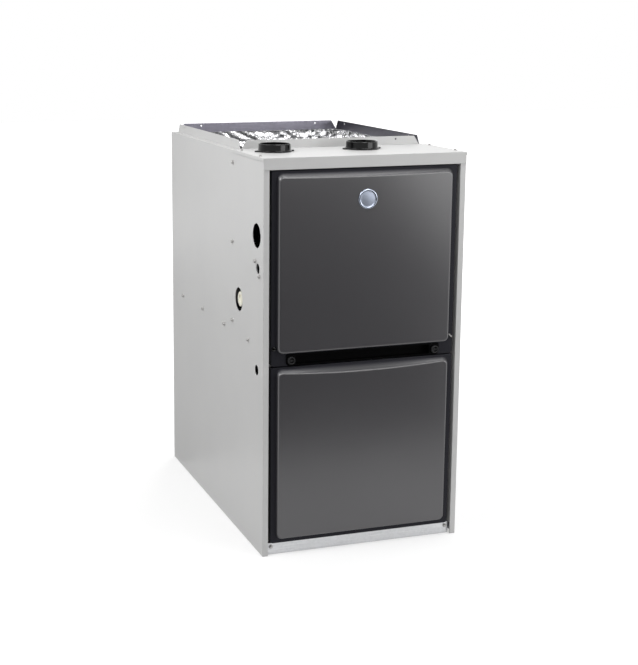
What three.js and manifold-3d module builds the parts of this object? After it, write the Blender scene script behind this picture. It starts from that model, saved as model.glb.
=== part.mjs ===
// A condensing forced-air gas furnace, upflow, in a 17.5 inch cabinet.
// Millimetres, +Z up. Inside this file x runs left to right as seen from the front,
// y runs back from the plane of the cabinet's front edges, and z runs up from the floor.
import * as THREE from "three";
import { mergeVertices } from "three/addons/utils/BufferGeometryUtils.js";
import Module from "manifold-3d";

const wasm = await Module();
wasm.setup();

// ---------------------------------------------------------------- sizes

const seat = 0.3; // clearance between two pieces that bear on each other
const sheet = 1.2; // steel of the cabinet and the blower housing
const cabinet = { width: 446, depth: 705, height: 838 };
const halfWidth = cabinet.width / 2;
const frontReturn = 12; // width of the face strip each side panel shows at the front
const doorRecess = 20; // depth of the pocket the doors sit in
const doorStop = 12; // width of the ledge at the back of that pocket
const baseReturn = 18; // foot folded in along the bottom of each side panel
const insideX = halfWidth - sheet - seat; // half the room between the side panels
const shelfTop = cabinet.height - sheet - seat; // top of the sheet that the top panel lies on

// The supply outlet takes the top of the cabinet behind the top panel.
const topPanelDepth = 197;
const outlet = { sideMargin: 15, rearMargin: 14, flange: 19, mitre: 12 };
const outletHalf = halfWidth - outlet.sideMargin;
const outletBack = cabinet.depth - outlet.rearMargin;
const outletFront = topPanelDepth;
const flangeHole = { radius: 2.2, fromEnd: 56, fromTop: 6 };
const topLip = 24; // height of the top panel's front face

// The deck divides the heat section above from the blower section below.
const heatSection = 386;
const deck = { z: cabinet.height - heatSection, flange: 14, frontFlange: 48, rearGap: 20 };
const deckFront = doorRecess + sheet + seat;
const deckFloor = deck.z + sheet + seat;
const vestibule = { y: outletFront + 1, flange: 15 };
const liner = 14; // foil-faced insulation

const rail = { y: 8, height: 25, shelf: 34, lip: 14 };
const rearRail = { height: 60, foot: 44, lip: 12 };

// Openings punched in the side panels: distance from the front, and height.
const gasHole = { y: 44, z: deck.z + 224, radius: 25.5 };
const wireHole = { y: 36, z: deck.z + 157, radius: 11 };
const signalHole = { y: 42, z: deck.z - 58, radius: 11 };
const drainHole = { y: 162, z: deck.z + 69, radius: 25.5 };

// Doors: a flat rim with a skirt turned back to the pocket's ledge, and a pressed pan
// standing forward of the rim.
const door = {
  sideGap: 6,
  setback: 3, // the rim lies this far behind the cabinet's front edges
  proud: 6, // and the pan's face stands this far forward of them
  rim: 10, // rim showing beside the pan
  rimCorner: 6,
  draft: 4,
  corner: 13,
  edge: 3.5, // rounding between the pan's walls and its face
  arch: 7, // how far the face's top edge dips in the middle
  topSlope: 6, // how far the pan's top wall falls between the rim and the face
};
const doorHalf = halfWidth - frontReturn - door.sideGap;
const doorBack = doorRecess - seat;
const upperDoor = { bottom: deck.z - 44, top: cabinet.height - topLip - 2, panBottom: 25, panTop: 3 };
const lowerDoor = { bottom: rail.height + seat, top: upperDoor.bottom - 2, panBottom: 8, panTop: 0 };
const knob = { fromEdge: 43, rise: 12, radius: 8.2, height: 6, shank: 3, cam: 7 };
const knobX = doorHalf - knob.fromEdge;
const fingerRecess = { half: 146, wall: 1.2 }; // hand-hold under the upper door's pan
const badge = { radius: 21, thick: 2.5, below: 63 };
const striker = { width: 22, height: 16 };

// Vent and combustion-air collars in the top panel, for 2 inch plastic pipe.
const collar = { y: 130, fromSide: 66.5, airX: halfWidth - 181, bore: 30.5, wall: 3.5, height: 17, spigot: 14 };
const ventX = collar.fromSide - insideX;
const collarFlange = { radius: 36.5, thick: 3, reach: 41.5, ear: 6.5 };
const pipe = { radius: 30.15, wall: 3, entry: 8 };

const airPassage = 141; // from a side of the cabinet to the middle of the nearest heat cell
const cellPitch = halfWidth - airPassage;
const rearHeader = { half: cellPitch + 43, z0: deck.z + 48, z1: deck.z + 203, depth: 36, wall: 2, rearGap: 29 };
const rearHeaderBack = cabinet.depth - rearHeader.rearGap;
const rearHeaderFront = rearHeaderBack - rearHeader.depth;
const tubeCell = { count: 3, pitch: cellPitch, radius: 27, wall: 1.5, bend: 36, z: cabinet.height - 73, sides: 12 };
const cellFrontBend = vestibule.y + 70;
const cellRearBend = rearHeaderFront - 40;
const coil = {
  half: insideX - 35.5,
  z0: deck.z + 26,
  z1: deck.z + 132,
  y0: vestibule.y + 16,
  y1: rearHeaderFront - 18,
  fins: 24,
  fin: 3,
  web: 15,
  neck: cellPitch + 36, // half the width of its inlet and outlet
  neckInset: 14, // how far the outlet's edges lie inside the fins
};

const drainBox = { half: insideX - 71.5, y0: vestibule.y - 53, z0: deck.z + 23, z1: deck.z + 152, wall: 3 };
const outfall = { y: vestibule.y - 26, rise: 12, radius: 8, bore: 5 };
const drainStub = { radius: 13, bore: 10 };
const drainCap = { radius: 16.5, skirt: 7, crown: 3, inset: 2.5 }; // it lies this far inside the side panel's hole
const drainCapX = drainCap.inset + drainCap.crown - halfWidth;
const trap = { width: 44, depth: 44, height: 118, fromSide: 17.5, nozzle: 12 };

const inducer = {
  x: ventX + 70,
  z: deck.z + 113,
  y1: drainBox.y0 - seat,
  depth: 50,
  wall: 2.5,
  start: 60,
  end: 100,
  tongue: 40,
  eye: 30,
  top: deck.z + 188,
};
const inducerFront = inducer.y1 - inducer.depth;
const inducerOutlet = { half: 35, depth: 72, below: 32, spigot: 24, ledge: 26 };
const inducerWheel = { radius: 48, hub: 9, gap: 9, width: 30, blades: 10, blade: 1.6 };
const inducerMotor = { radius: 42, length: 52, shaft: 4, bore: 36, cap: 28 };

const burnerBox = { half: cellPitch + 36, y0: 95, z0: tubeCell.z - 40, z1: tubeCell.z + 40 };
const burner = { mouth: 16, throat: 9, head: 19, length: 74, headY: vestibule.y - 12, wall: 1.5 };
const gasManifold = { y: 58, radius: 11, end: cellPitch + 18, spud: 6, spudEnd: 108, bracket: 16 };
const gasValve = { x0: 12, x1: 84, y0: 34, y1: 82, below: 34, above: 32, boss: 17, riser: 48, outlet: 10 };
const gasSwitch = { x: 28, z: gasHole.z + 14, radius: 9, height: 9, pin: 2.5 };
const probe = { x: burnerBox.half - 9, radius: 3, length: 94, block: 12 }; // igniter and flame sensor
const rollout = { x: burnerBox.half - 18, y: 150, radius: 12, height: 9, button: 2.6, rise: 3 };

const blower = { y: 390, z: 215, half: 115, start: 148, end: 200, inlet: 112, tongue: -68, flange: 14 };
const wheel = { radius: 135, inner: 114, half: 105, blades: 30, blade: 1.8, plate: 3, hub: 18, rim: 6 };
const motor = { radius: 62, x0: 20, length: 112, shaft: 6.35, bore: 45 };
const motorArm = { width: 20, thick: 3, reach: 134, band: 14 };

const controlBox = { x0: 31.5 - insideX, x1: -6, y0: 62, height: 202, depth: 46 };
const transformer = { x0: 14, x1: 80, y0: 62, y1: 116, height: 58 };
const doorSwitch = { x: 120, z: deck.z - 72, width: 20, height: 30, depth: 30, ear: 47, bore: 3.5, tip: 12 };
const plunger = { length: 23, travel: 4 };
const junctionBox = { y1: 76, below: 31, above: 33, depth: 48 };
const pressureSwitch = { x: drainBox.half - 38, z: deck.z + 203, radius: 34, depth: 26 };

// ---------------------------------------------------------------- materials

const finish = (color, roughness, metalness) => new THREE.MeshStandardMaterial({ color, roughness, metalness });
const paintedSteel = finish(0xc9cac9, 0.45, 0.3);
const bareSteel = finish(0x8d8d93, 0.4, 0.9);
const zincSteel = finish(0xc4c6c8, 0.4, 0.9);
const charcoal = finish(0x47474a, 0.35, 0.3);
const blackPlastic = finish(0x141416, 0.35, 0);
const foil = finish(0xe4e4e4, 0.2, 1);
const tubeSteel = finish(0x9a968f, 0.45, 0.9);
const castAluminium = finish(0xa9abad, 0.45, 0.9);
const greyPlastic = finish(0x3a3c3f, 0.5, 0);
const creamPlastic = finish(0xe6e4cf, 0.45, 0);
const whitePipe = finish(0xe9e9e5, 0.4, 0);
const boardGreen = finish(0x2f5f45, 0.5, 0);
const motorBlack = finish(0x232427, 0.45, 0.4);
const brushedPlate = finish(0xb9bec6, 0.25, 1);

// ---------------------------------------------------------------- shaping

function solidOf(geometry) {
  const bare = geometry.clone();
  bare.deleteAttribute("normal");
  bare.deleteAttribute("uv");
  const merged = mergeVertices(bare, 1e-4);
  const kept = [];
  for (let i = 0; i < merged.index.count; i += 3) {
    const [a, b, c] = merged.index.array.slice(i, i + 3);
    if (a !== b && b !== c && c !== a) kept.push(a, b, c);
  }
  const triVerts = new Uint32Array(kept);
  const vertProperties = merged.attributes.position.array;
  const made = new wasm.Manifold(new wasm.Mesh({ numProp: 3, vertProperties, triVerts }));
  if (made.volume() > 0) return made;
  for (let i = 0; i < triVerts.length; i += 3) [triVerts[i], triVerts[i + 1]] = [triVerts[i + 1], triVerts[i]];
  return new wasm.Manifold(new wasm.Mesh({ numProp: 3, vertProperties, triVerts }));
}

function geometryOf(solid) {
  const mesh = solid.getMesh();
  const position = new THREE.BufferAttribute(new Float32Array(mesh.vertProperties), 3);
  const geometry = new THREE.BufferGeometry().setAttribute("position", position);
  geometry.setIndex(new THREE.BufferAttribute(new Uint32Array(mesh.triVerts), 1));
  geometry.computeVertexNormals();
  return geometry;
}

const join = (...solids) => solids.reduce((whole, piece) => whole.add(piece));
const cut = (solid, ...tools) => tools.reduce((whole, tool) => whole.subtract(tool), solid);

function block(x0, x1, y0, y1, z0, z1) {
  const geometry = new THREE.BoxGeometry(x1 - x0, y1 - y0, z1 - z0);
  return solidOf(geometry.translate((x0 + x1) / 2, (y0 + y1) / 2, (z0 + z1) / 2));
}

const alongX = new THREE.Matrix4().makeBasis(
  new THREE.Vector3(0, 1, 0),
  new THREE.Vector3(0, 0, 1),
  new THREE.Vector3(1, 0, 0),
);
const alongY = new THREE.Matrix4().makeBasis(
  new THREE.Vector3(1, 0, 0),
  new THREE.Vector3(0, 0, 1),
  new THREE.Vector3(0, -1, 0),
);

// A flat outline given a thickness. Its two coordinates are x and y for axis "z", y and z for
// axis "x", and x and z for axis "y". Sides counts the facets of a full circle.
function extruded(axis, shape, from, to, sides = 12) {
  const options = { depth: to - from, bevelEnabled: false, curveSegments: sides / 2 };
  const geometry = new THREE.ExtrudeGeometry(shape, options);
  if (axis === "x") geometry.translate(0, 0, from).applyMatrix4(alongX);
  else if (axis === "y") geometry.applyMatrix4(alongY).translate(0, to, 0);
  else geometry.translate(0, 0, from);
  return solidOf(geometry);
}

const outline = (points) => new THREE.Shape(points.map(([u, v]) => new THREE.Vector2(u, v)));

// Sheet metal seen on edge: the fold line, and the same line offset to its left by the gauge.
function folded(points, gauge = sheet) {
  const line = points.map(([u, v]) => new THREE.Vector2(u, v));
  const normals = line.slice(1).map((p, i) => {
    const along = p.clone().sub(line[i]).normalize();
    return new THREE.Vector2(-along.y, along.x);
  });
  const inner = line.map((p, i) => {
    const a = normals[Math.max(i - 1, 0)];
    const b = normals[Math.min(i, normals.length - 1)];
    return p.clone().addScaledVector(a.clone().add(b), gauge / (1 + a.dot(b)));
  });
  return new THREE.Shape([...line, ...inner.reverse()]);
}

function disc(u, v, radius) {
  return new THREE.Shape().absarc(u, v, radius, 0, 2 * Math.PI, false);
}

const rod = (axis, u, v, radius, from, to, sides = 12) =>
  extruded(axis, disc(u, v, radius), from, to, sides);

function ring(axis, u, v, outer, inner, from, to, sides = 12) {
  const shape = disc(u, v, outer);
  shape.holes.push(new THREE.Path().absarc(u, v, inner, 0, 2 * Math.PI, true));
  return extruded(axis, shape, from, to, sides);
}

// A turned piece: [radius, height] pairs about the z axis.
function turned(profile, segments = 24) {
  const points = profile.map(([radius, height]) => new THREE.Vector2(radius, height));
  return solidOf(new THREE.LatheGeometry(points, segments).rotateX(Math.PI / 2));
}

// A piece built up the z axis, laid over so that its top points to the front.
const facingFront = (solid) => solidOf(geometryOf(solid).rotateX(Math.PI / 2));

// A blower's scroll, seen along its shaft at (u, v). The wall leaves the tongue and runs round
// with a growing radius, then straight up to the outlet. Side is +1 when the outlet is on
// the +u side. The tongue stands at that offset from the shaft, towards the outlet.
function scroll({ u, v, start, end, tongue, top, side }) {
  const first = Math.atan2(Math.sqrt(start ** 2 - tongue ** 2), tongue);
  const steps = 18;
  const points = [];
  for (let i = 0; i <= steps; i++) {
    const angle = first + ((2 * Math.PI - first) * i) / steps;
    const radius = start + ((end - start) * i) / steps;
    points.push([u + side * radius * Math.cos(angle), v + radius * Math.sin(angle)]);
  }
  points.push([u + side * end, top], [u + side * tongue, top]);
  return outline(points);
}

// Skin through a row of closed loops with equal numbers of points, closed at both ends.
function lofted(loops) {
  const count = loops[0].length;
  const points = loops.flat();
  const index = [];
  for (let k = 0; k + 1 < loops.length; k++) {
    for (let i = 0; i < count; i++) {
      const a = k * count + i;
      const b = k * count + ((i + 1) % count);
      index.push(a, b, b + count, a, b + count, a + count);
    }
  }
  const flat = loops[0].map((p) => new THREE.Vector2(p.x, p.z));
  const last = (loops.length - 1) * count;
  for (const [a, b, c] of THREE.ShapeUtils.triangulateShape(flat, [])) {
    index.push(a, c, b, last + a, last + b, last + c);
  }
  const geometry = new THREE.BufferGeometry().setFromPoints(points);
  geometry.setIndex(index);
  return solidOf(geometry);
}

// Straight runs joined by round bends. A run is one step and a bend has several, so that
// a tube swept along it has facets only where it turns.
class BentPath extends THREE.Curve {
  constructor(knots) {
    super();
    this.knots = knots;
  }
  getPoint(t, target = new THREE.Vector3()) {
    const at = Math.min(Math.max(t, 0), 1) * (this.knots.length - 1);
    const i = Math.min(Math.floor(at), this.knots.length - 2);
    return target.copy(this.knots[i].point).lerp(this.knots[i + 1].point, at - i);
  }
  getPointAt(u, target) {
    return this.getPoint(u, target);
  }
  getTangentAt(u, target = new THREE.Vector3()) {
    return target.copy(this.knots[Math.round(u * (this.knots.length - 1))].along);
  }
}

function swept(path, outer, inner, sides) {
  const shape = disc(0, 0, outer);
  if (inner > 0) shape.holes.push(new THREE.Path().absarc(0, 0, inner, 0, 2 * Math.PI, true));
  const steps = path.knots ? path.knots.length - 1 : Math.ceil(path.getLength() / (2.5 * outer));
  return solidOf(
    new THREE.ExtrudeGeometry(shape, { steps, curveSegments: sides / 2, extrudePath: path, bevelEnabled: false }),
  );
}

function addPiece(group, name, solid, material, place = [0, 0, 0]) {
  const mesh = new THREE.Mesh(geometryOf(solid), material);
  mesh.name = name;
  mesh.position.set(...place);
  group.add(mesh);
  return mesh;
}

function subassembly(parent, x = 0, y = 0, z = 0) {
  const group = new THREE.Group();
  group.position.set(x, y, z);
  parent.add(group);
  return group;
}

// ---------------------------------------------------------------- cabinet

// One side of the duct flange round the supply outlet: a mitred strip with two screw holes.
// u0 and u1 are its ends along the edge, and from and to its two faces.
function outletFlange(axis, u0, u1, from, to) {
  const top = cabinet.height + outlet.flange;
  const strip = outline([
    [u0, shelfTop - sheet],
    [u1, shelfTop - sheet],
    [u1, cabinet.height],
    [u1 - outlet.mitre, top],
    [u0 + outlet.mitre, top],
    [u0, cabinet.height],
  ]);
  const holeZ = top - flangeHole.fromTop;
  const holes = [u0 + flangeHole.fromEnd, u1 - flangeHole.fromEnd];
  for (const u of holes) {
    strip.holes.push(new THREE.Path().absarc(u, holeZ, flangeHole.radius, 0, 2 * Math.PI, true));
  }
  return extruded(axis, strip, from, to, 10);
}

// The left side panel: face strip, door pocket and stop folded along the front edge, a shelf
// and the duct flange along the top, and a foot along the bottom.
function sidePanel(holes) {
  const stripX = -halfWidth + frontReturn;
  const pocket = folded([
    [-halfWidth, cabinet.depth],
    [-halfWidth, 0],
    [stripX, 0],
    [stripX, doorRecess],
    [stripX + doorStop, doorRecess],
  ]);
  const wall = extruded("z", pocket, 0, shelfTop);
  const shelfX = -outletHalf;
  const shelf = block(-halfWidth, shelfX, sheet, cabinet.depth, shelfTop - sheet, shelfTop);
  const foot = block(-halfWidth, -halfWidth + baseReturn, rail.y + rail.shelf, cabinet.depth, 0, sheet);
  const flange = outletFlange("x", outletFront, outletBack, shelfX - sheet, shelfX);
  const railNotch = block(stripX - 2 * sheet, 0, 2 * sheet, rail.y + rail.shelf, -1, rail.height + seat);
  const punched = holes.map(({ y, z, radius }) => rod("x", y, z, radius, -halfWidth - 1, -halfWidth + 5, 28));
  return cut(join(wall, shelf, foot, flange), railNotch, ...punched);
}

const mirrored = (solid) => solidOf(geometryOf(solid).scale(-1, 1, 1));

function backPanel() {
  const lap = deck.rearGap;
  const wall = extruded(
    "z",
    folded([
      [insideX, cabinet.depth - lap],
      [insideX, cabinet.depth],
      [-insideX, cabinet.depth],
      [-insideX, cabinet.depth - lap],
    ]),
    sheet + seat,
    shelfTop - sheet - seat,
  );
  const half = outletHalf - sheet - seat;
  const neck = block(-half, half, cabinet.depth - sheet, cabinet.depth, shelfTop - 4 * sheet, shelfTop);
  const shelf = block(-half, half, outletBack, cabinet.depth, shelfTop - sheet, shelfTop);
  const flange = outletFlange("y", -half, half, outletBack, outletBack + sheet);
  return join(wall, neck, shelf, flange);
}

// The top panel: front face, flat top with the two collar holes, and the front duct flange.
function topPanel() {
  const lipY = -seat - sheet;
  const bent = folded(
    [
      [lipY, cabinet.height - topLip],
      [lipY, cabinet.height],
      [outletFront, cabinet.height],
    ],
    -sheet,
  );
  const top = extruded("x", bent, -halfWidth, halfWidth);
  const half = outletHalf - sheet - seat;
  const flange = outletFlange("y", -half, half, outletFront - sheet, outletFront);
  const notch = block(-half - 5, half + 5, outletFront - 2 * sheet, outletFront + 1, 0, shelfTop + seat / 2);
  const holes = [ventX, collar.airX].map((x) =>
    rod("z", x, collar.y, collar.bore + collar.wall + seat, cabinet.height - 3, cabinet.height + 1, 24),
  );
  return cut(join(top, flange), notch, ...holes);
}

// The deck carries the heat section and the blower hangs under it.
function blowerDeck() {
  const y0 = deckFront;
  const y1 = cabinet.depth - sheet - seat - deck.rearGap;
  const plate = block(-insideX, insideX, y0, y1, deck.z, deck.z + sheet);
  const front = block(-insideX, insideX, y0, y0 + sheet, deck.z - deck.frontFlange, deck.z + sheet);
  const back = block(-insideX, insideX, y1 - sheet, y1, deck.z - deck.flange, deck.z);
  const sides = [-insideX, insideX - sheet].map((x) =>
    block(x, x + sheet, y0, y1, deck.z - deck.flange, deck.z),
  );
  const opening = block(
    -blower.half,
    blower.half,
    blower.y + blower.tongue,
    blower.y + blower.end,
    deck.z - 1,
    deck.z + 3,
  );
  const knobZ = upperDoor.bottom + knob.rise;
  const slots = [-knobX, knobX].map((x) =>
    block(x - knob.cam - 1, x + knob.cam + 1, y0 - 1, y0 + 3, knobZ - knob.shank - 1, knobZ + knob.shank + 1),
  );
  return cut(join(plate, front, back, ...sides), opening, ...slots);
}

// The wall between the burners and the heat exchanger.
function vestibulePanel() {
  const z0 = deckFloor;
  const z1 = shelfTop - sheet - seat;
  const y = vestibule.y;
  const tray = folded([
    [-insideX, y + vestibule.flange],
    [-insideX, y],
    [insideX, y],
    [insideX, y + vestibule.flange],
  ]);
  const wall = extruded("z", tray, z0, z1);
  const ports = cellCentres().map((x) => rod("y", x, tubeCell.z, tubeCell.radius - 3, y - 1, y + 3, 12));
  const lip = coil.neckInset - 2;
  const coilPort = block(-coil.neck - 2, coil.neck + 2, y - 1, y + 3, coil.z0 + lip, coil.z1 - lip);
  return cut(wall, ...ports, coilPort);
}

function cellCentres() {
  const middle = (tubeCell.count - 1) / 2;
  return Array.from({ length: tubeCell.count }, (_, i) => (i - middle) * tubeCell.pitch);
}

// Channel under the lower door. Its shelf carries the door.
function frontBaseRail() {
  const end = halfWidth - frontReturn - sheet - seat;
  const bent = folded(
    [
      [rail.y + rail.lip, 0],
      [rail.y, 0],
      [rail.y, rail.height],
      [rail.y + rail.shelf, rail.height],
      [rail.y + rail.shelf, rail.height - rail.lip],
    ],
    -sheet,
  );
  return extruded("x", bent, -end, end);
}

function rearBaseRail() {
  const end = halfWidth - baseReturn - seat;
  const y = cabinet.depth - sheet - seat;
  const bent = folded(
    [
      [y, rearRail.height],
      [y, 0],
      [y - rearRail.foot, 0],
      [y - rearRail.foot, rearRail.lip],
    ],
    -sheet,
  );
  return extruded("x", bent, -end, end);
}

function buildCabinet(group) {
  const holes = [gasHole, wireHole, signalHole];
  addPiece(group, "left_side_panel", sidePanel([...holes, drainHole]), paintedSteel);
  addPiece(group, "right_side_panel", mirrored(sidePanel(holes)), paintedSteel);
  addPiece(group, "back_panel", backPanel(), paintedSteel);
  addPiece(group, "top_panel", topPanel(), paintedSteel);
  addPiece(group, "blower_deck", blowerDeck(), zincSteel);
  addPiece(group, "vestibule_panel", vestibulePanel(), zincSteel);
  addPiece(group, "front_base_rail", frontBaseRail(), zincSteel);
  addPiece(group, "rear_base_rail", rearBaseRail(), zincSteel);
}

// Foil-faced blanket against the inside of the cabinet, round the heat exchanger.
function buildLiners(group) {
  const z0 = deckFloor;
  const z1 = shelfTop - sheet - seat;
  const y0 = vestibule.y + vestibule.flange + seat;
  const y1 = cabinet.depth - sheet - seat;
  const lapY = y1 - deck.rearGap;
  const side = block(-insideX, -insideX + liner, y0, lapY, z0, z1);
  addPiece(group, "foil_liner_left", side, foil);
  addPiece(group, "foil_liner_right", mirrored(side), foil);
  const half = insideX - sheet - seat;
  addPiece(group, "foil_liner_back", block(-half, half, y1 - liner, y1, z0, z1), foil);
}

// ---------------------------------------------------------------- doors

// The pan's outline at one depth. The top edge dips by arch in the middle.
function panLoop(y, half, z0, z1, radius, arch) {
  const points = [];
  const corner = (cx, cz, start) => {
    for (let i = 0; i <= 4; i++) {
      const angle = start + (i * Math.PI) / 8;
      points.push(new THREE.Vector3(cx + radius * Math.cos(angle), y, cz + radius * Math.sin(angle)));
    }
  };
  const inner = half - radius;
  corner(-inner, z0 + radius, Math.PI);
  corner(inner, z0 + radius, -Math.PI / 2);
  corner(inner, z1 - radius, 0);
  const spans = 10;
  for (let i = 1; i < spans; i++) {
    const x = inner * (1 - (2 * i) / spans);
    points.push(new THREE.Vector3(x, y, z1 - arch * (1 - (x / inner) ** 2)));
  }
  corner(-inner, z1 - radius, Math.PI / 2);
  return points;
}

// The pan as a solid form, smaller all round by inset, from backY forward.
function panForm(z0, z1, inset, backY) {
  const { draft, corner, edge, topSlope, arch } = door;
  const half = doorHalf - door.rim - inset;
  const faceY = -door.proud + inset;
  const loops = [
    panLoop(backY, half, z0 + inset, z1 - inset, corner, 0),
    panLoop(door.setback, half, z0 + inset, z1 - inset, corner, 0),
  ];
  for (let i = 0; i <= 3; i++) {
    const angle = (i * Math.PI) / 6;
    const y = faceY + edge * (1 - Math.sin(angle));
    const pull = draft - edge * Math.cos(angle);
    const fall = topSlope - edge * Math.cos(angle);
    loops.push(panLoop(y, half - pull, z0 + inset + pull, z1 - inset - fall, corner - pull, arch));
  }
  return lofted(loops);
}

function rimOutline(bottom, top, inset) {
  const half = doorHalf - inset;
  const r = door.rimCorner - inset;
  const shape = new THREE.Shape();
  shape.moveTo(-half, bottom + inset + r);
  shape.absarc(-half + r, bottom + inset + r, r, Math.PI, 1.5 * Math.PI, false);
  shape.absarc(half - r, bottom + inset + r, r, 1.5 * Math.PI, 2 * Math.PI, false);
  shape.lineTo(half, top - inset);
  shape.lineTo(-half, top - inset);
  return shape;
}

function doorPanel({ bottom, top, panBottom, panTop }) {
  const z0 = bottom + panBottom;
  const z1 = top - panTop;
  const tray = extruded("y", rimOutline(bottom, top, 0), door.setback, doorBack, 8);
  const room = extruded("y", rimOutline(bottom, top, sheet), door.setback + sheet, doorBack + 1, 8);
  const skin = panForm(z0, z1, 0, door.setback + sheet / 2);
  const hollow = panForm(z0, z1, sheet, door.setback + 2 * sheet);
  return cut(join(cut(tray, room), skin), hollow);
}

// The upper door's lower rim is pressed back between the latches, so that fingers reach
// under the pan.
function upperDoorPanel() {
  const { bottom, panBottom } = upperDoor;
  const { half, wall } = fingerRecess;
  const top = bottom + panBottom;
  const pocket = block(-half - wall, half + wall, door.setback, doorBack, bottom, top + wall);
  const room = block(-half, half, -door.proud - 1, doorBack - wall, bottom + wall, top);
  const knobZ = bottom + knob.rise;
  const holes = [-knobX, knobX].map((x) => rod("y", x, knobZ, knob.shank + seat, 0, doorRecess, 8));
  return cut(join(doorPanel(upperDoor), pocket), room, ...holes);
}

// Quarter-turn latch: a round head with a finger bar in its recess, a shank and a cam behind.
function latchKnob() {
  const reach = deckFront + sheet + seat - (door.setback - seat);
  const head = turned([
    [0, 0],
    [knob.radius, 0],
    [knob.radius, knob.height - 1],
    [knob.radius - 1, knob.height],
    [knob.radius - 2.4, knob.height],
    [knob.radius - 2.8, 2],
    [0, 2],
  ]);
  const bar = block(-knob.radius + 2.5, knob.radius - 2.5, -1.2, 1.2, 1, knob.height - 0.6);
  const shank = rod("z", 0, 0, knob.shank, -reach, 1, 6);
  const cam = block(-2.5, 2.5, -knob.cam, knob.cam, -reach - 2.5, -reach);
  return facingFront(join(head, bar, shank, cam));
}

function buildDoors(group) {
  const knobZ = upperDoor.bottom + knob.rise;
  const knobY = door.setback - seat;
  addPiece(group, "upper_door", upperDoorPanel(), charcoal);
  addPiece(group, "door_knob_left", latchKnob(), blackPlastic, [-knobX, knobY, knobZ]);
  addPiece(group, "door_knob_right", latchKnob(), blackPlastic, [knobX, knobY, knobZ]);
  const plate = turned(
    [
      [0, 0],
      [badge.radius, 0],
      [badge.radius, badge.thick - 0.8],
      [badge.radius - 0.8, badge.thick],
      [badge.radius - 3, badge.thick],
      [badge.radius - 3.6, badge.thick - 0.7],
      [0, badge.thick - 0.7],
    ],
    32,
  );
  addPiece(group, "door_badge", facingFront(plate), brushedPlate, [
    0,
    -door.proud - seat,
    upperDoor.top - badge.below,
  ]);

  const { x, z, tip } = doorSwitch;
  const halfTab = striker.width / 2;
  const tab = block(
    x - halfTab,
    x + halfTab,
    -door.proud + sheet / 2,
    tip - seat,
    z - striker.height / 2,
    z + striker.height / 2,
  );
  addPiece(group, "lower_door", join(doorPanel(lowerDoor), tab), charcoal);
}

// ---------------------------------------------------------------- heat exchanger

// One primary cell: in at the vestibule, back, and down through two bends to the rear header.
function cellPath(x) {
  const knots = [];
  const add = (y, z, dy, dz) =>
    knots.push({ point: new THREE.Vector3(x, y, z), along: new THREE.Vector3(0, dy, dz) });
  const bend = (cy, cz, turn) => {
    for (let i = 0; i <= 6; i++) {
      const angle = (i * Math.PI) / 6;
      const s = Math.sin(angle);
      const c = Math.cos(angle);
      add(cy + turn * tubeCell.bend * s, cz + tubeCell.bend * c, turn * c, -s);
    }
  };
  const b = tubeCell.bend;
  add(vestibule.y + sheet + seat, tubeCell.z, 1, 0);
  bend(cellRearBend, tubeCell.z - b, 1);
  bend(cellFrontBend, tubeCell.z - 3 * b, -1);
  add(rearHeaderFront - seat, tubeCell.z - 4 * b, 1, 0);
  return new BentPath(knots);
}

// Crossover box between the primary cells and the condensing coil.
function rearHeaderBox() {
  const { half, z0, z1, wall } = rearHeader;
  const y0 = rearHeaderFront;
  const y1 = rearHeaderBack;
  const shell = block(-half, half, y0, y1, z0, z1);
  const inside = block(-half + wall, half - wall, y0 + wall, y1 - wall, z0 + wall, z1 - wall);
  const portZ = tubeCell.z - 4 * tubeCell.bend;
  const ports = cellCentres().map((x) => rod("y", x, portZ, tubeCell.radius - 4, y0 - 1, y0 + 3, 12));
  const { neck, neckInset } = coil;
  const coilPort = block(-neck + 4, neck - 4, y0 - 1, y0 + 3, z0 + 4 * wall, coil.z1 - neckInset - 4);
  return cut(shell, inside, ...ports, coilPort);
}

// Condensing coil: fins standing above and below the tube pack, a neck at each end, and feet
// on the deck.
function finnedCoil() {
  const { half, y0, y1, z0, z1, fins, fin, web, neck, neckInset } = coil;
  const pitch = (y1 - y0 - fin) / (fins - 1);
  const middle = (z0 + z1) / 2;
  const upper = [];
  const lower = [];
  for (let i = 0; i < fins; i++) {
    const y = y0 + i * pitch;
    upper.unshift([y + fin, middle + web], [y + fin, z1], [y, z1], [y, middle + web]);
    lower.push([y, middle - web], [y, z0], [y + fin, z0], [y + fin, middle - web]);
  }
  const pack = extruded("x", outline([...lower, ...upper]), -half, half);
  const feet = [y0, y1 - fin].map((y) => block(-half, half, y, y + fin, deckFloor, z0 + 1));
  const frontY = vestibule.y + sheet + seat;
  const frontNeck = block(-neck, neck, frontY, y0 + 1, z0 + neckInset, z1 - neckInset);
  const rearY = rearHeaderFront - seat;
  const rearNeck = block(-neck, neck, y1 - 1, rearY, rearHeader.z0 + 2 * rearHeader.wall, z1 - neckInset);
  return join(pack, ...feet, frontNeck, rearNeck);
}

function buildHeatExchanger(group) {
  cellCentres().forEach((x, i) => {
    const tube = swept(cellPath(x), tubeCell.radius, tubeCell.radius - tubeCell.wall, tubeCell.sides);
    addPiece(group, `heat_cell_${i + 1}`, tube, tubeSteel);
  });
  addPiece(group, "rear_header", rearHeaderBox(), tubeSteel);
  addPiece(group, "condensing_coil", finnedCoil(), castAluminium);
}

// ---------------------------------------------------------------- draft and venting

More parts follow.
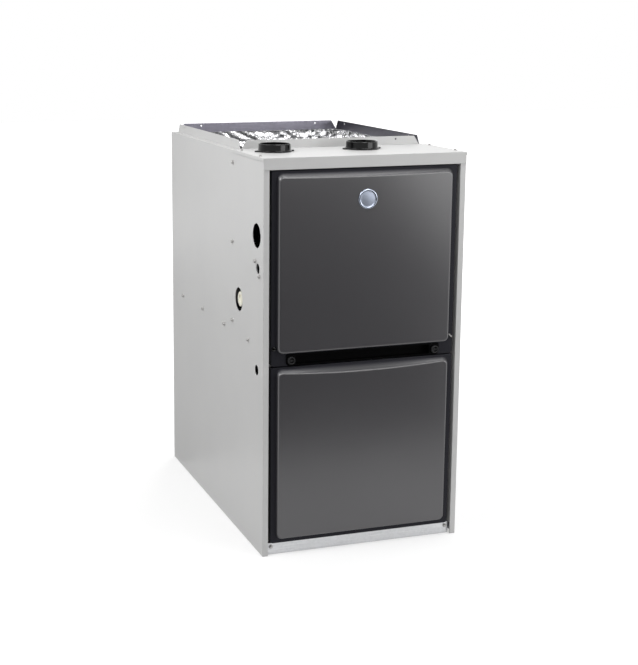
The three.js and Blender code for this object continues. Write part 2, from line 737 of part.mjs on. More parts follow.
// Scroll of the draft inducer, with a box at its outlet and a spigot for the vent pipe.
function inducerHousing() {
  const { x: u, z: v, y1, wall, start, end, tongue, eye, top } = inducer;
  const y0 = inducerFront;
  const { half, depth, below, spigot, ledge } = inducerOutlet;
  const boxZ = top - below;
  const shape = { u, v, start, end, tongue, top: boxZ + 10, side: -1 };
  const inner = { ...shape, start: start - wall, end: end - wall, tongue: tongue + wall, top: top - wall };
  const body = extruded("y", scroll(shape), y0, y1);
  const room = extruded("y", scroll(inner), y0 + wall, y1 - wall);
  const back = collar.y + depth / 2;
  const front = collar.y - depth / 2;
  const box = block(ventX - half, ventX + half, front, back, boxZ, top);
  const inset = half - wall;
  const boxRoom = block(ventX - inset, ventX + inset, front + wall, back - wall, boxZ + wall, top - wall);
  const outer = collar.bore + collar.wall;
  const neck = rod("z", ventX, collar.y, outer, top - 0.5, top + spigot, 24);
  const socket = rod("z", ventX, collar.y, collar.bore, top, top + spigot + 1, 24);
  const mouth = rod("z", ventX, collar.y, ledge, top - 2 * wall, top + 1, 16);
  const inlet = rod("y", u, v, eye, y1 - 2 * wall, y1 + 1, 16);
  const shaftHole = rod("y", u, v, inducerMotor.shaft + 1, y0 - 1, y0 + 2 * wall, 8);
  return cut(join(body, box, neck), room, boxRoom, socket, mouth, inlet, shaftHole);
}

// Radial fan with its shaft, turning about y. Its own middle is the inducer's shaft line.
function inducerFan() {
  const { radius, hub, gap, width, blades, blade } = inducerWheel;
  const y0 = inducerFront + gap;
  const y1 = y0 + width;
  const plate = rod("y", 0, 0, radius, y0, y0 + 2, 14);
  const boss = rod("y", 0, 0, hub, y0, y1, 10);
  const shaft = rod("y", 0, 0, inducerMotor.shaft, inducerFront - inducerMotor.bore + 2, y0 + 1, 8);
  const vanes = Array.from({ length: blades }, (_, i) => {
    const vane = new THREE.BoxGeometry(radius - hub + 2, width - 1, blade);
    vane.translate((radius + hub - 2) / 2, y0 + (width + 1) / 2, 0).rotateY((2 * Math.PI * i) / blades);
    return solidOf(vane);
  });
  return join(plate, boss, shaft, ...vanes);
}

function inducerMotorBody() {
  const { radius, length, shaft, bore, cap } = inducerMotor;
  const y1 = inducerFront - seat;
  const y0 = y1 - length;
  const can = rod("y", 0, 0, radius, y0 + 6, y1, 24);
  const end = rod("y", 0, 0, cap, y0, y0 + 7, 12);
  return cut(join(can, end), rod("y", 0, 0, shaft + seat, y1 - bore, y1 + 1, 8));
}

// Pipe collar: a flange with two screw ears on the top panel, a spigot through it, and the bore.
function pipeCollar() {
  const { radius, thick, reach, ear } = collarFlange;
  const outer = collar.bore + collar.wall;
  const body = turned(
    [
      [collar.bore, -collar.spigot],
      [outer, -collar.spigot],
      [outer, seat],
      [radius, seat],
      [radius, thick],
      [outer, thick],
      [outer, collar.height - 1],
      [outer - 1, collar.height],
      [collar.bore + 1, collar.height],
      [collar.bore, collar.height - 1],
      [collar.bore, -collar.spigot],
    ],
    28,
  );
  const ears = [-1, 1].map((side) => {
    const tab = join(
      block(side * (reach - ear) - 3, side * (reach - ear) + 3, -ear, ear, seat, thick),
      rod("z", side * (reach - ear), 0, ear, seat, thick, 10),
    );
    return cut(tab, rod("z", 0, 0, outer - 1, -1, thick + 1, 28));
  });
  const screws = [-1, 1].map((side) => rod("z", side * (reach - 4), 0, 1.6, -1, thick + 1, 8));
  return cut(join(body, ...ears), ...screws);
}

function straightPipe(z0, z1) {
  return ring("z", 0, 0, pipe.radius, pipe.radius - pipe.wall, z0, z1, 24);
}

// Plastic box that gathers the coil's outlet for the inducer and lets the water out.
function drainHeader() {
  const { half, y0, z0, z1, wall } = drainBox;
  const y1 = vestibule.y - seat;
  const shell = block(-half, half, y0, y1, z0, z1);
  const room = block(-half + wall, half - wall, y0 + wall, y1 + 1, z0 + wall, z1 - wall);
  const eye = rod("y", inducer.x, inducer.z, inducer.eye, y0 - 1, y0 + 2 * wall, 16);
  const { y, z } = drainHole;
  const stubEnd = drainCapX + seat;
  const stub = rod("x", y, z, drainStub.radius, stubEnd, -half + 1, 20);
  const stubBore = rod("x", y, z, drainStub.bore, stubEnd - 1, -half + 2 * wall, 14);
  const spoutZ = z0 + outfall.rise;
  const spoutEnd = insideX - trap.fromSide - trap.width - seat;
  const spout = rod("x", outfall.y, spoutZ, outfall.radius, half - 1, spoutEnd, 8);
  const spoutBore = rod("x", outfall.y, spoutZ, outfall.bore, half - 2 * wall, spoutEnd + 1, 8);
  return cut(join(shell, stub, spout), room, eye, stubBore, spoutBore);
}

function buildVenting(group) {
  addPiece(group, "inducer_housing", inducerHousing(), blackPlastic);
  const place = [inducer.x, 0, inducer.z];
  addPiece(group, "inducer_wheel", inducerFan(), greyPlastic, place);
  addPiece(group, "inducer_motor", inducerMotorBody(), motorBlack, place);

  addPiece(group, "vent_collar", pipeCollar(), blackPlastic, [ventX, collar.y, cabinet.height]);
  addPiece(group, "intake_collar", pipeCollar(), blackPlastic, [collar.airX, collar.y, cabinet.height]);
  const pipeTop = cabinet.height - collar.spigot + pipe.entry;
  const ventPipe = straightPipe(inducer.top + seat, pipeTop);
  addPiece(group, "vent_pipe", ventPipe, whitePipe, [ventX, collar.y, 0]);
  const intakePipe = straightPipe(burnerBox.z1 + seat, pipeTop);
  addPiece(group, "intake_pipe", intakePipe, whitePipe, [collar.airX, collar.y, 0]);

  addPiece(group, "drain_header", drainHeader(), greyPlastic);
  const { radius, skirt, crown } = drainCap;
  const bore = drainStub.radius + seat;
  const cap = turned(
    [
      [0, 0],
      [bore, 0],
      [bore, -skirt],
      [radius, -skirt],
      [radius, crown - 1],
      [radius - 1, crown],
      [0, crown],
    ],
    20,
  );
  const onStub = solidOf(geometryOf(cap).rotateY(-Math.PI / 2));
  addPiece(group, "drain_cap", onStub, creamPlastic, [drainCapX, drainHole.y, drainHole.z]);

  const x1 = insideX - trap.fromSide;
  const x0 = x1 - trap.width;
  const y = outfall.y;
  const top = deckFloor + trap.height;
  const bottle = block(x0, x1, y - trap.depth / 2, y + trap.depth / 2, deckFloor, top);
  const middle = (x0 + x1) / 2;
  const nozzle = rod("z", middle, y, outfall.radius, top - 1, top + trap.nozzle, 8);
  const well = rod("z", middle, y, outfall.bore, deckFloor + trap.nozzle, top + trap.nozzle + 1, 8);
  addPiece(group, "condensate_trap", cut(join(bottle, nozzle), well), whitePipe);
}

// ---------------------------------------------------------------- burners and gas

function boxOfBurners() {
  const { half, y0, z0, z1 } = burnerBox;
  const y1 = vestibule.y - seat;
  const shell = block(-half, half, y0, y1, z0, z1);
  const room = block(-half + sheet, half - sheet, y0 + sheet, y1 + 1, z0 + sheet, z1 - sheet);
  const spudHoles = cellCentres().map((x) =>
    rod("y", x, tubeCell.z, gasManifold.spud + 2, y0 - 1, y0 + 3, 10),
  );
  const probeHoles = [-probe.x, probe.x].map((x) =>
    rod("y", x, tubeCell.z, probe.radius + 1, y0 - 1, y0 + 3, 8),
  );
  const airHole = rod("z", collar.airX, collar.y, pipe.radius - pipe.wall, z1 - 3, z1 + 1, 16);
  return cut(shell, room, ...spudHoles, ...probeHoles, airHole);
}

// In-shot burner: a venturi with a wide head, and a foot on the floor of the burner box.
function burnerTube() {
  const { mouth, throat, head, length, wall } = burner;
  const profile = [
    [head, 0],
    [head, 9],
    [throat, 34],
    [throat, 46],
    [mouth, length],
  ];
  const inner = profile.map(([radius, height]) => [radius - wall, height]).reverse();
  const venturi = facingFront(turned([...profile, ...inner, profile[0]], 14));
  const floor = burnerBox.z0 + sheet + seat - tubeCell.z;
  return join(venturi, block(-9, 9, -42, -39, floor, -throat + wall / 2));
}

function manifoldTube() {
  const { y, radius, end, spud, spudEnd, bracket } = gasManifold;
  const z = tubeCell.z;
  const tube = rod("x", y, z, radius, -end, end, 12);
  const spuds = cellCentres().map((x) => rod("y", x, z, spud, y, spudEnd, 8));
  const riser = rod("z", gasValve.riser, y, gasValve.outlet, gasHole.z + gasValve.above + seat, z, 12);
  const wallY = burnerBox.y0 - seat;
  const ends = [-end, end - bracket];
  const arms = ends.map((x) => block(x, x + bracket, y, wallY, z + 5, z + 8));
  const pads = ends.map((x) => block(x, x + bracket, wallY - 2, wallY, z + 5, z + 30));
  return join(tube, riser, ...spuds, ...arms, ...pads);
}

function gasValveBody() {
  const { x0, x1, y0, y1, below, above, boss } = gasValve;
  const z = gasHole.z;
  const y = (y0 + y1) / 2;
  const body = block(x0, x1, y0, y1, z - below, z + above);
  const inlet = rod("x", y, z, boss, x0 - 14, x0 + 1, 8);
  const solenoid = rod("y", x1 - 20, z - 6, 13, y0 - 9, y0 + 1, 14);
  const port = rod("x", y, z, boss - 5, x0 - 15, x0 + 12, 12);
  const pinHole = rod("y", gasSwitch.x, gasSwitch.z, gasSwitch.pin + seat, y0 - 1, y0 + 12, 8);
  return cut(join(body, inlet, solenoid), port, pinHole);
}

function gasSwitchKnob() {
  const { radius, height, pin } = gasSwitch;
  const head = rod("z", 0, 0, radius, 0, 4, 16);
  const grip = block(-radius + 1, radius - 1, -2, 2, 3, height);
  return facingFront(join(head, grip, rod("z", 0, 0, pin, -10, 1, 8)));
}

// A ceramic block on the burner box with a rod reaching to the burner heads.
function flameProbe() {
  const y = burnerBox.y0 - seat;
  const body = block(-7, 7, y - probe.block, y, -9, 9);
  return join(body, rod("y", 0, 0, probe.radius, y - 1, y + probe.length, 8));
}

function rolloutSwitch() {
  const body = rod("z", 0, 0, rollout.radius, 0, rollout.height, 14);
  const ears = block(-19, 19, -5, 5, 0, 1.5);
  return cut(join(body, ears), rod("z", 0, 0, rollout.button + seat, 2, rollout.height + 1, 10));
}

function buildBurners(group) {
  addPiece(group, "burner_box", boxOfBurners(), zincSteel);
  cellCentres().forEach((x, i) => {
    addPiece(group, `burner_${i + 1}`, burnerTube(), zincSteel, [x, burner.headY, tubeCell.z]);
  });
  addPiece(group, "gas_manifold", manifoldTube(), bareSteel);
  addPiece(group, "gas_valve", gasValveBody(), castAluminium);
  const { x, z } = gasSwitch;
  addPiece(group, "gas_valve_switch", gasSwitchKnob(), blackPlastic, [x, gasValve.y0 - seat, z]);
  addPiece(group, "igniter", flameProbe(), creamPlastic, [probe.x, 0, tubeCell.z]);
  addPiece(group, "flame_sensor", flameProbe(), creamPlastic, [-probe.x, 0, tubeCell.z]);
  const base = burnerBox.z1 + seat;
  for (const [side, at] of [["left", -rollout.x], ["right", rollout.x]]) {
    addPiece(group, `rollout_switch_${side}`, rolloutSwitch(), blackPlastic, [at, rollout.y, base]);
    const button = rod("z", 0, 0, rollout.button, 4, rollout.height + rollout.rise, 10);
    addPiece(group, `rollout_button_${side}`, button, creamPlastic, [at, rollout.y, base]);
  }

  // The pressure switch hangs on the vestibule panel, with its tap on the drain header.
  const { radius, depth } = pressureSwitch;
  const dial = turned(
    [
      [0, 0],
      [radius, 0],
      [radius, depth / 3],
      [radius - 12, depth / 2],
      [radius - 12, depth - 4],
      [radius - 16, depth],
      [0, depth],
    ],
    20,
  );
  const tap = rod("z", 0, -depth / 4, 3, drainBox.z1 + seat - pressureSwitch.z, -radius + 4, 8);
  const place = [pressureSwitch.x, vestibule.y - seat, pressureSwitch.z];
  addPiece(group, "pressure_switch", join(facingFront(dial), tap), blackPlastic, place);
}

// ---------------------------------------------------------------- controls

function openTray(x0, x1, y0, y1, z0, z1) {
  const room = block(x0 + sheet, x1 - sheet, y0 - 1, y1 - sheet, z0 + sheet, z1 - sheet);
  return cut(block(x0, x1, y0, y1, z0, z1), room);
}

// The board on its posts, with relays, a terminal strip and a plug on its face.
function controlBoardAssembly() {
  const { x0, x1, y0, depth, height } = controlBox;
  const z0 = deck.z - seat - height;
  const back = y0 + depth - sheet - seat;
  const face = back - 9;
  const board = block(x0 + 8, x1 - 8, face - 2, face, z0 + 12, z0 + 160);
  const posts = [x0 + 16, x1 - 16].flatMap((x) =>
    [z0 + 20, z0 + 152].map((z) => rod("y", x, z, 3, face - 1, back, 6)),
  );
  const relays = [0, 1, 2].map((i) =>
    block(x0 + 24 + 34 * i, x0 + 48 + 34 * i, face - 18, face - 1, z0 + 112, z0 + 144),
  );
  const terminals = block(x0 + 22, x1 - 40, face - 12, face - 1, z0 + 20, z0 + 34);
  const plug = block(x1 - 34, x1 - 20, face - 14, face - 1, z0 + 40, z0 + 96);
  return join(board, ...posts, ...relays, terminals, plug);
}

function doorSwitchBody() {
  const { x, z, width, height, depth, ear, bore, tip } = doorSwitch;
  const y0 = deckFront + sheet + seat;
  const body = block(x - width / 2, x + width / 2, y0, y0 + depth, z - height / 2, z + height / 2);
  const strap = block(x - width / 2, x + width / 2, y0, y0 + 2, z, z + height / 2 + ear);
  return cut(join(body, strap), rod("y", x, z, bore, y0 - 1, tip + plunger.length + plunger.travel + seat, 10));
}

function buildControls(group) {
  const top = deck.z - seat;
  const { x0, x1, y0, height, depth } = controlBox;
  addPiece(group, "control_box", openTray(x0, x1, y0, y0 + depth, top - height, top), zincSteel);
  addPiece(group, "control_board", controlBoardAssembly(), boardGreen);

  const t = transformer;
  const core = block(t.x0, t.x1, t.y0 + 10, t.y1 - 10, top - t.height, top);
  const windings = block(t.x0 + 12, t.x1 - 12, t.y0, t.y1, top - t.height + 12, top - 12);
  addPiece(group, "transformer", join(core, windings), motorBlack);

  addPiece(group, "door_switch", doorSwitchBody(), greyPlastic);
  const { x, z, bore, tip } = doorSwitch;
  const pin = rod("y", x, z, bore - seat, tip, tip + plunger.length, 10);
  addPiece(group, "door_switch_plunger", pin, creamPlastic);

  const wallX = -insideX;
  const wireEntry = rod("x", wireHole.y, wireHole.z, wireHole.radius, wallX - 1, wallX + 3, 12);
  const box = openTray(
    wallX,
    wallX + junctionBox.depth,
    deckFront + sheet + seat,
    junctionBox.y1,
    wireHole.z - junctionBox.below,
    wireHole.z + junctionBox.above,
  );
  addPiece(group, "junction_box", cut(box, wireEntry), zincSteel);
}

// ---------------------------------------------------------------- blower

const blowerShape = () => ({
  u: blower.y,
  v: blower.z,
  start: blower.start,
  end: blower.end,
  tongue: blower.tongue,
  top: deck.z - seat,
  side: 1,
});

// The blower's wrap: one sheet rolled round the scroll, with a flange at its outlet that hangs
// it under the deck.
function blowerWrap() {
  const { y, half, end, tongue, flange } = blower;
  const shape = blowerShape();
  const { start, top } = shape;
  const inner = { ...shape, start: start - sheet, end: end - sheet, tongue: tongue + sheet, top: top + 1 };
  const wrap = cut(extruded("x", scroll(shape), -half, half), extruded("x", scroll(inner), -half - 1, half + 1));
  const reach = half + sheet + seat + flange;
  const rim = block(-reach, reach, y + tongue - flange, y + end + flange - 2, top - sheet, top);
  const mouth = block(-half, half, y + tongue + sheet, y + end - sheet, top - 3, top + 1);
  return cut(join(wrap, rim), mouth);
}

// One flat side of the blower, with the round inlet.
function blowerSide(side) {
  const shape = { ...blowerShape(), top: deck.z - 2 * seat - sheet };
  const plate = scroll(shape);
  plate.holes.push(new THREE.Path().absarc(blower.y, blower.z, blower.inlet, 0, 2 * Math.PI, true));
  const near = blower.half + seat;
  const [from, to] = side > 0 ? [near, near + sheet] : [-near - sheet, -near];
  return extruded("x", plate, from, to, 36);
}

// Forward-curved blade, seen along the shaft.
function bladeOutline(turn) {
  const front = [];
  const back = [];
  for (let i = 0; i <= 2; i++) {
    const s = i / 2;
    const radius = wheel.inner + (wheel.radius - wheel.inner - 0.5) * s;
    const angle = turn + 0.16 * s ** 2;
    const lean = wheel.blade / (2 * radius);
    front.push([radius * Math.cos(angle - lean), radius * Math.sin(angle - lean)]);
    back.unshift([radius * Math.cos(angle + lean), radius * Math.sin(angle + lean)]);
  }
  return outline([...front, ...back]);
}

// The ring of blades, held by a rim at each end.
function bladeRing() {
  const { radius, half, blades, rim } = wheel;
  const vanes = Array.from({ length: blades }, (_, i) =>
    extruded("x", bladeOutline((2 * Math.PI * i) / blades), -half, half),
  );
  const rims = [-half, half - 3].map((x) => ring("x", 0, 0, radius, radius - rim, x, x + 3, 24));
  const waist = ring("x", 0, 0, radius - 1, wheel.inner, -wheel.plate / 2, wheel.plate / 2, 30);
  return join(waist, ...rims, ...vanes);
}

// The plate that carries the ring, with its boss and the shaft.
function wheelHub() {
  const { inner, plate, hub } = wheel;
  const web = rod("x", 0, 0, inner - seat, -plate / 2, plate / 2, 30);
  const boss = rod("x", 0, 0, hub, -14, 14, 12);
  const shaft = rod("x", 0, 0, motor.shaft, 10, motor.x0 + motor.bore - 3, 10);
  return join(web, boss, shaft);
}

function blowerMotor() {
  const { radius, x0, length, shaft, bore } = motor;
  const can = rod("x", 0, 0, radius, x0 + 8, x0 + length, 24);
  const nose = rod("x", 0, 0, radius - 14, x0, x0 + 9, 16);
  return cut(join(can, nose), rod("x", 0, 0, shaft + seat, x0 - 1, x0 + bore, 12));
}

// Belly band round the motor with three arms out to the housing's side.
function motorMount() {
  const { width, thick, reach, band } = motorArm;
  const x0 = blower.half + sheet + 2 * seat;
  const inner = motor.radius + seat;
  const belt = ring("x", 0, 0, inner + thick, inner, x0, x0 + band, 24);
  const arms = [90, 210, 330].map((degrees) => {
    const arm = new THREE.BoxGeometry(thick, width, reach - inner - 1);
    arm.translate(x0 + thick / 2, 0, (reach + inner + 1) / 2);
    return solidOf(arm.rotateX((degrees * Math.PI) / 180));
  });
  return join(belt, ...arms);
}

function buildBlower(group) {
  addPiece(group, "blower_wrap", blowerWrap(), zincSteel);
  addPiece(group, "blower_side_left", blowerSide(-1), zincSteel);
  addPiece(group, "blower_side_right", blowerSide(1), zincSteel);
  const place = [0, blower.y, blower.z];
  addPiece(group, "blower_wheel", bladeRing(), zincSteel, place);
  addPiece(group, "blower_wheel_hub", wheelHub(), zincSteel, place);
  addPiece(group, "blower_motor", blowerMotor(), motorBlack, place);
  addPiece(group, "motor_mount", motorMount(), zincSteel, place);
}

// ---------------------------------------------------------------- furnace

const furnace = new THREE.Group();
furnace.name = "forced_air_gas_furnace";
for (const build of [
  buildCabinet,
  buildLiners,
  buildDoors,
  buildHeatExchanger,
  buildVenting,
  buildBurners,
  buildControls,
  buildBlower,
]) {
  build(subassembly(furnace));
}

// The finished frame has its origin at the middle of the underside.
const bounds = new THREE.Box3().setFromObject(furnace);
const centre = bounds.getCenter(new THREE.Vector3());
furnace.position.set(-centre.x, -centre.y, -bounds.min.z);
furnace.updateMatrixWorld(true);

export default furnace;
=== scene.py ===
# A condensing forced-air gas furnace in a tall steel cabinet, dressed for a studio photograph.
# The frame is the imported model's: metres, +Z up, and the doors face -Y.
import math

import bmesh
import bpy
from mathutils import Matrix, Vector, noise


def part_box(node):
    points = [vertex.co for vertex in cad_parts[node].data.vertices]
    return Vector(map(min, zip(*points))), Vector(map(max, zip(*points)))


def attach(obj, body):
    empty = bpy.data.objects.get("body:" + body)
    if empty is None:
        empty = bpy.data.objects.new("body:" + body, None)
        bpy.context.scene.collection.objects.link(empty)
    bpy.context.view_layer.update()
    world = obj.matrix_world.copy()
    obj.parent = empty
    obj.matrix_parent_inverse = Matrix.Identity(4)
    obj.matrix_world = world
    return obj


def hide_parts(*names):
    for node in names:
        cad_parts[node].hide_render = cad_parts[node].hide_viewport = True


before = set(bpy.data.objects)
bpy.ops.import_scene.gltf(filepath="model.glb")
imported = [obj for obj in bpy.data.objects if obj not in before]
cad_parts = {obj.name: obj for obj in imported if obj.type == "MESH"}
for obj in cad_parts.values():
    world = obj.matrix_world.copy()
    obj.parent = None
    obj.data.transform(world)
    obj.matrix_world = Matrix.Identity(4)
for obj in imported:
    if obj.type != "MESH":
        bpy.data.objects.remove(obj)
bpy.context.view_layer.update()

scene = bpy.context.scene
MM = 0.001

# ------------------------------------------------------------------ sizes, in millimetres

# Heights and widths are the frame's own. Depths are measured back from the plane of the
# cabinet's front edges, and at() turns them into the frame.
FRONT = 348.1
SHEET = 1.2
CABINET_HALF = 223
CABINET_TOP = 838
DOOR_HALF = 205
DOOR_RIM_Y = 3
DOOR_FACE_Y = -6
DOOR_BACK_Y = 19.7
UPPER_DOOR = (408, 812)  # from the door's lower edge to its upper edge
LOWER_DOOR = (25.3, 406)
FILLET = 1.5  # inner radius where a door's rim turns into its pan and its skirt
RIM_WIDTH = 10  # rim showing beside the pan
PAN_CORNER = 13
PAN_WALL = 2.5  # how far the pan's walls lean in
PAN_TURN = 3.2  # rounding between the pan's walls and its face
DIP_HALF = 182  # half the width over which the pan's top edge dips
HAND_HOLD = (152, 409.8, 431.2)  # half its width, then its lower and upper edge
KNOB_X = 162
KNOB_Z = 420
COLLAR_Y = 130
VENT_X, AIR_X = -155, 42
BADGE_Z = 749
RIM_FITTING_X = 199  # the screw and the clip at the ends of the upper door's rim
STRIKER = ((109, -5, 372), (131, 11.7, 388))  # two corners of the tab behind the lower door's pan
DRAIN_CAP = (-210.5, 162, 521)
FOIL_STEP = 2.4  # spacing of the foil's mesh
FOIL_DEPTH = 7  # deepest crease below the foil's highest folds
FOIL_EDGE = 5  # width at a blanket's edges over which its creases fade out
TOP_LIP = 7  # how far the top panel's edges turn down over the side panels


def at(x, y, z):
    """A place in millimetres, with its depth from the cabinet's front, in the frame."""
    return Vector((x, y - FRONT, z)) * MM


# ------------------------------------------------------------------ camera

camera = bpy.data.objects.new("camera", bpy.data.cameras.new("camera"))
scene.collection.objects.link(camera)
camera.location = (-1.0933, -2.8906, 1.1072)
camera.rotation_euler = (math.radians(90 - 10.806), 0, math.radians(-17.844))
camera.data.lens = 73.35
camera.data.shift_x = 0.1203
camera.data.shift_y = -0.0805
scene.camera = camera
scene.view_settings.view_transform = "Standard"


# ------------------------------------------------------------------ finishes

def linear(colour):
    """An sRGB hex colour such as "C5C5C5", as the linear RGBA that shaders take."""
    parts = [int(colour[i:i + 2], 16) / 255 for i in (0, 2, 4)]
    return [c / 12.92 if c <= 0.04045 else ((c + 0.055) / 1.055) ** 2.4 for c in parts] + [1]


def node(tree, kind, inputs=None, **settings):
    """Adds a node. Its inputs are given by name or number, as a value or as a socket to link."""
    made = tree.nodes.new("ShaderNode" + kind)
    for name, value in settings.items():
        setattr(made, name, value)
    for key, value in (inputs or {}).items():
        if isinstance(value, bpy.types.NodeSocket):
            tree.links.new(value, made.inputs[key])
        else:
            made.inputs[key].default_value = value
    return made


def blank(name, **sockets):
    """A new material with its uniform values on the shader's own sockets. A socket's name has _
    for a space."""
    material = bpy.data.materials.new(name)
    material.use_nodes = True
    tree = material.node_tree
    shader = tree.nodes["Principled BSDF"]
    for key, value in sockets.items():
        shader.inputs[key.replace("_", " ")].default_value = value
    return material, tree, shader


def mottled(name, light, dark, patch, roughness, grain, relief, **sockets):
    """A finish whose colour drifts between two hex values over patches, with a fine relief.
    patch, grain and relief are in millimetres; roughness is its lowest and highest."""
    material, tree, shader = blank(name, **sockets)
    place = node(tree, "TexCoord").outputs["Object"]
    drift = node(tree, "TexNoise", {"Vector": place, "Scale": 1000 / patch, "Detail": 4})
    colour = node(tree, "Mix", {0: drift.outputs["Fac"], 6: linear(dark), 7: linear(light)},
                  data_type="RGBA")
    gloss = node(tree, "MapRange", {0: drift.outputs["Fac"], 3: roughness[1], 4: roughness[0]})
    grit = node(tree, "TexNoise", {"Vector": place, "Scale": 1000 / grain, "Detail": 2})
    bump = node(tree, "Bump", {"Height": grit.outputs["Fac"], "Distance": relief * MM, "Strength": 1})
    tree.links.new(colour.outputs[2], shader.inputs["Base Color"])
    tree.links.new(gloss.outputs[0], shader.inputs["Roughness"])
    tree.links.new(bump.outputs["Normal"], shader.inputs["Normal"])
    return material


def zinc(tree, place, dark, light):
    """Hot-dip galvanised skin between two hex values: spangles of about 5 mm, each with its own
    gloss, and fine rolling streaks. Gives a colour and a roughness socket."""
    spangle = node(tree, "TexVoronoi", {"Vector": place, "Scale": 220, "Randomness": 1})
    crystal = node(tree, "SeparateColor", {0: spangle.outputs["Color"]})
    long = node(tree, "Mapping", {"Vector": place, "Scale": (14, 14, 420)})
    streak = node(tree, "TexNoise", {"Vector": long.outputs[0], "Scale": 1, "Detail": 4, "Roughness": 0.7})
    both = node(tree, "Mix", {0: 0.15, 2: streak.outputs["Fac"], 3: crystal.outputs[0]})
    colour = node(tree, "Mix", {0: both.outputs[0], 6: linear(dark), 7: linear(light)},
                  data_type="RGBA")
    gloss = node(tree, "MapRange", {0: crystal.outputs[1], 3: 0.32, 4: 0.37})
    return colour.outputs[2], gloss.outputs[0]


def galvanised():
    """Galvanised sheet steel, rolled: bright, with a faint frost of crystals."""
    material, tree, shader = blank("galvanised_sheet_steel", Metallic=1)
    place = node(tree, "TexCoord").outputs["Object"]
    colour, gloss = zinc(tree, place, "B2B3B6", "DFE0E1")
    edge = node(tree, "Bevel", {"Radius": 0.8 * MM}, samples=6)
    tree.links.new(colour, shader.inputs["Base Color"])
    tree.links.new(gloss, shader.inputs["Roughness"])
    tree.links.new(edge.outputs["Normal"], shader.inputs["Normal"])
    return material


def prepainted(name, bare_way, bare_behind, dark="75737E", light="9A98A3"):
    """Galvanised steel coil with grey polyester baked on its outer face: satin with a slight orange
    peel outside, dull violet-grey zinc inside. A face is bare where it looks along bare_way and lies
    further back than bare_behind millimetres. dark and light are its zinc's two hex values."""
    material, tree, shader = blank(name)
    spot = node(tree, "TexCoord")
    place = spot.outputs["Object"]
    colour, gloss = zinc(tree, place, dark, light)
    looks = node(tree, "VectorMath", {0: spot.outputs["Normal"], 1: bare_way}, operation="DOT_PRODUCT")
    faces = node(tree, "Math", {0: looks.outputs["Value"], 1: 0.5}, operation="GREATER_THAN")
    depth = node(tree, "SeparateXYZ", {0: place})
    behind = node(tree, "Math", {0: depth.outputs[1], 1: (bare_behind - FRONT) * MM},
                  operation="GREATER_THAN")
    bare = node(tree, "Math", {0: faces.outputs[0], 1: behind.outputs[0]}, operation="MULTIPLY").outputs[0]
    # Orange peel: waves of 3 mm, as coarse as they need to be to show, and 12 microns deep.
    peel = node(tree, "TexNoise", {"Vector": place, "Scale": 330, "Detail": 2})
    cloud = node(tree, "TexNoise", {"Vector": place, "Scale": 7, "Detail": 3})
    coat = node(tree, "Mix", {0: cloud.outputs["Fac"], 6: linear("C3C3C3"), 7: linear("CBCBCA")},
                data_type="RGBA")
    skin = node(tree, "Mix", {0: bare, 6: coat.outputs[2], 7: colour}, data_type="RGBA")
    sheen = node(tree, "MapRange", {0: cloud.outputs["Fac"], 3: 0.36, 4: 0.44})
    rough = node(tree, "Mix", {0: bare, 2: sheen.outputs[0], 3: gloss})
    edge = node(tree, "Bevel", {"Radius": 1.2 * MM}, samples=6)
    bump = node(tree, "Bump", {"Height": peel.outputs["Fac"], "Distance": 0.012 * MM, "Strength": 1,
                               "Normal": edge.outputs["Normal"]})
    tree.links.new(skin.outputs[2], shader.inputs["Base Color"])
    tree.links.new(bare, shader.inputs["Metallic"])
    tree.links.new(rough.outputs[0], shader.inputs["Roughness"])
    tree.links.new(bump.outputs["Normal"], shader.inputs["Normal"])
    return material


def door_coat():
    """Steel, charcoal polyester powder coat with metal flake: a hard satin that mirrors more than plain
    paint does, with an even fine orange peel. Down in the channel round each pan the colour is darker,
    the reflection is tinted dimmer and the coat is duller: painted shade for the shade that falls round the
    pan."""
    material, tree, shader = blank("powder_coat_charcoal", Specular_IOR_Level=1)
    place = node(tree, "TexCoord").outputs["Object"]
    drift = node(tree, "TexNoise", {"Vector": place, "Scale": 7, "Detail": 4})
    depth = node(tree, "SeparateXYZ", {0: place})
    # Painted shade: the channel round each pan, from 3.5 mm in front of the cabinet's front plane to 1 mm
    # behind it, gets a darker colour and a dimmer reflection.
    edge, bottom = (-3.5 - FRONT) * MM, (1 - FRONT) * MM
    channel_shade = node(tree, "MapRange", {0: depth.outputs[1], 1: edge, 2: bottom}).outputs[0]
    open_coat = node(tree, "Mix", {0: drift.outputs["Fac"], 6: linear("3D3C3F"), 7: linear("424144")},
                     data_type="RGBA")
    colour = node(tree, "Mix", {0: channel_shade, 6: open_coat.outputs[2], 7: linear("1B1B1F")},
                  data_type="RGBA")
    sheen = node(tree, "MapRange", {0: drift.outputs["Fac"], 3: 0.32, 4: 0.26})
    gloss = node(tree, "Math", {0: channel_shade, 1: 0.25, 2: sheen.outputs[0]}, operation="MULTIPLY_ADD")
    # Painted shade: the reflection is tinted dimmer in the channel.
    tint = node(tree, "Mix", {0: channel_shade, 6: linear("FFFFFF"), 7: linear("6A6A72")}, data_type="RGBA")
    tree.links.new(tint.outputs[2], shader.inputs["Specular Tint"])
    # Orange peel: waves of 2.5 mm, as coarse as they need to be to show, and 12 microns deep.
    peel = node(tree, "TexNoise", {"Vector": place, "Scale": 400, "Detail": 2})
    bump = node(tree, "Bump", {"Height": peel.outputs["Fac"], "Distance": 0.012 * MM, "Strength": 1})
    tree.links.new(colour.outputs[2], shader.inputs["Base Color"])
    tree.links.new(gloss.outputs[0], shader.inputs["Roughness"])
    tree.links.new(bump.outputs["Normal"], shader.inputs["Normal"])
    return material


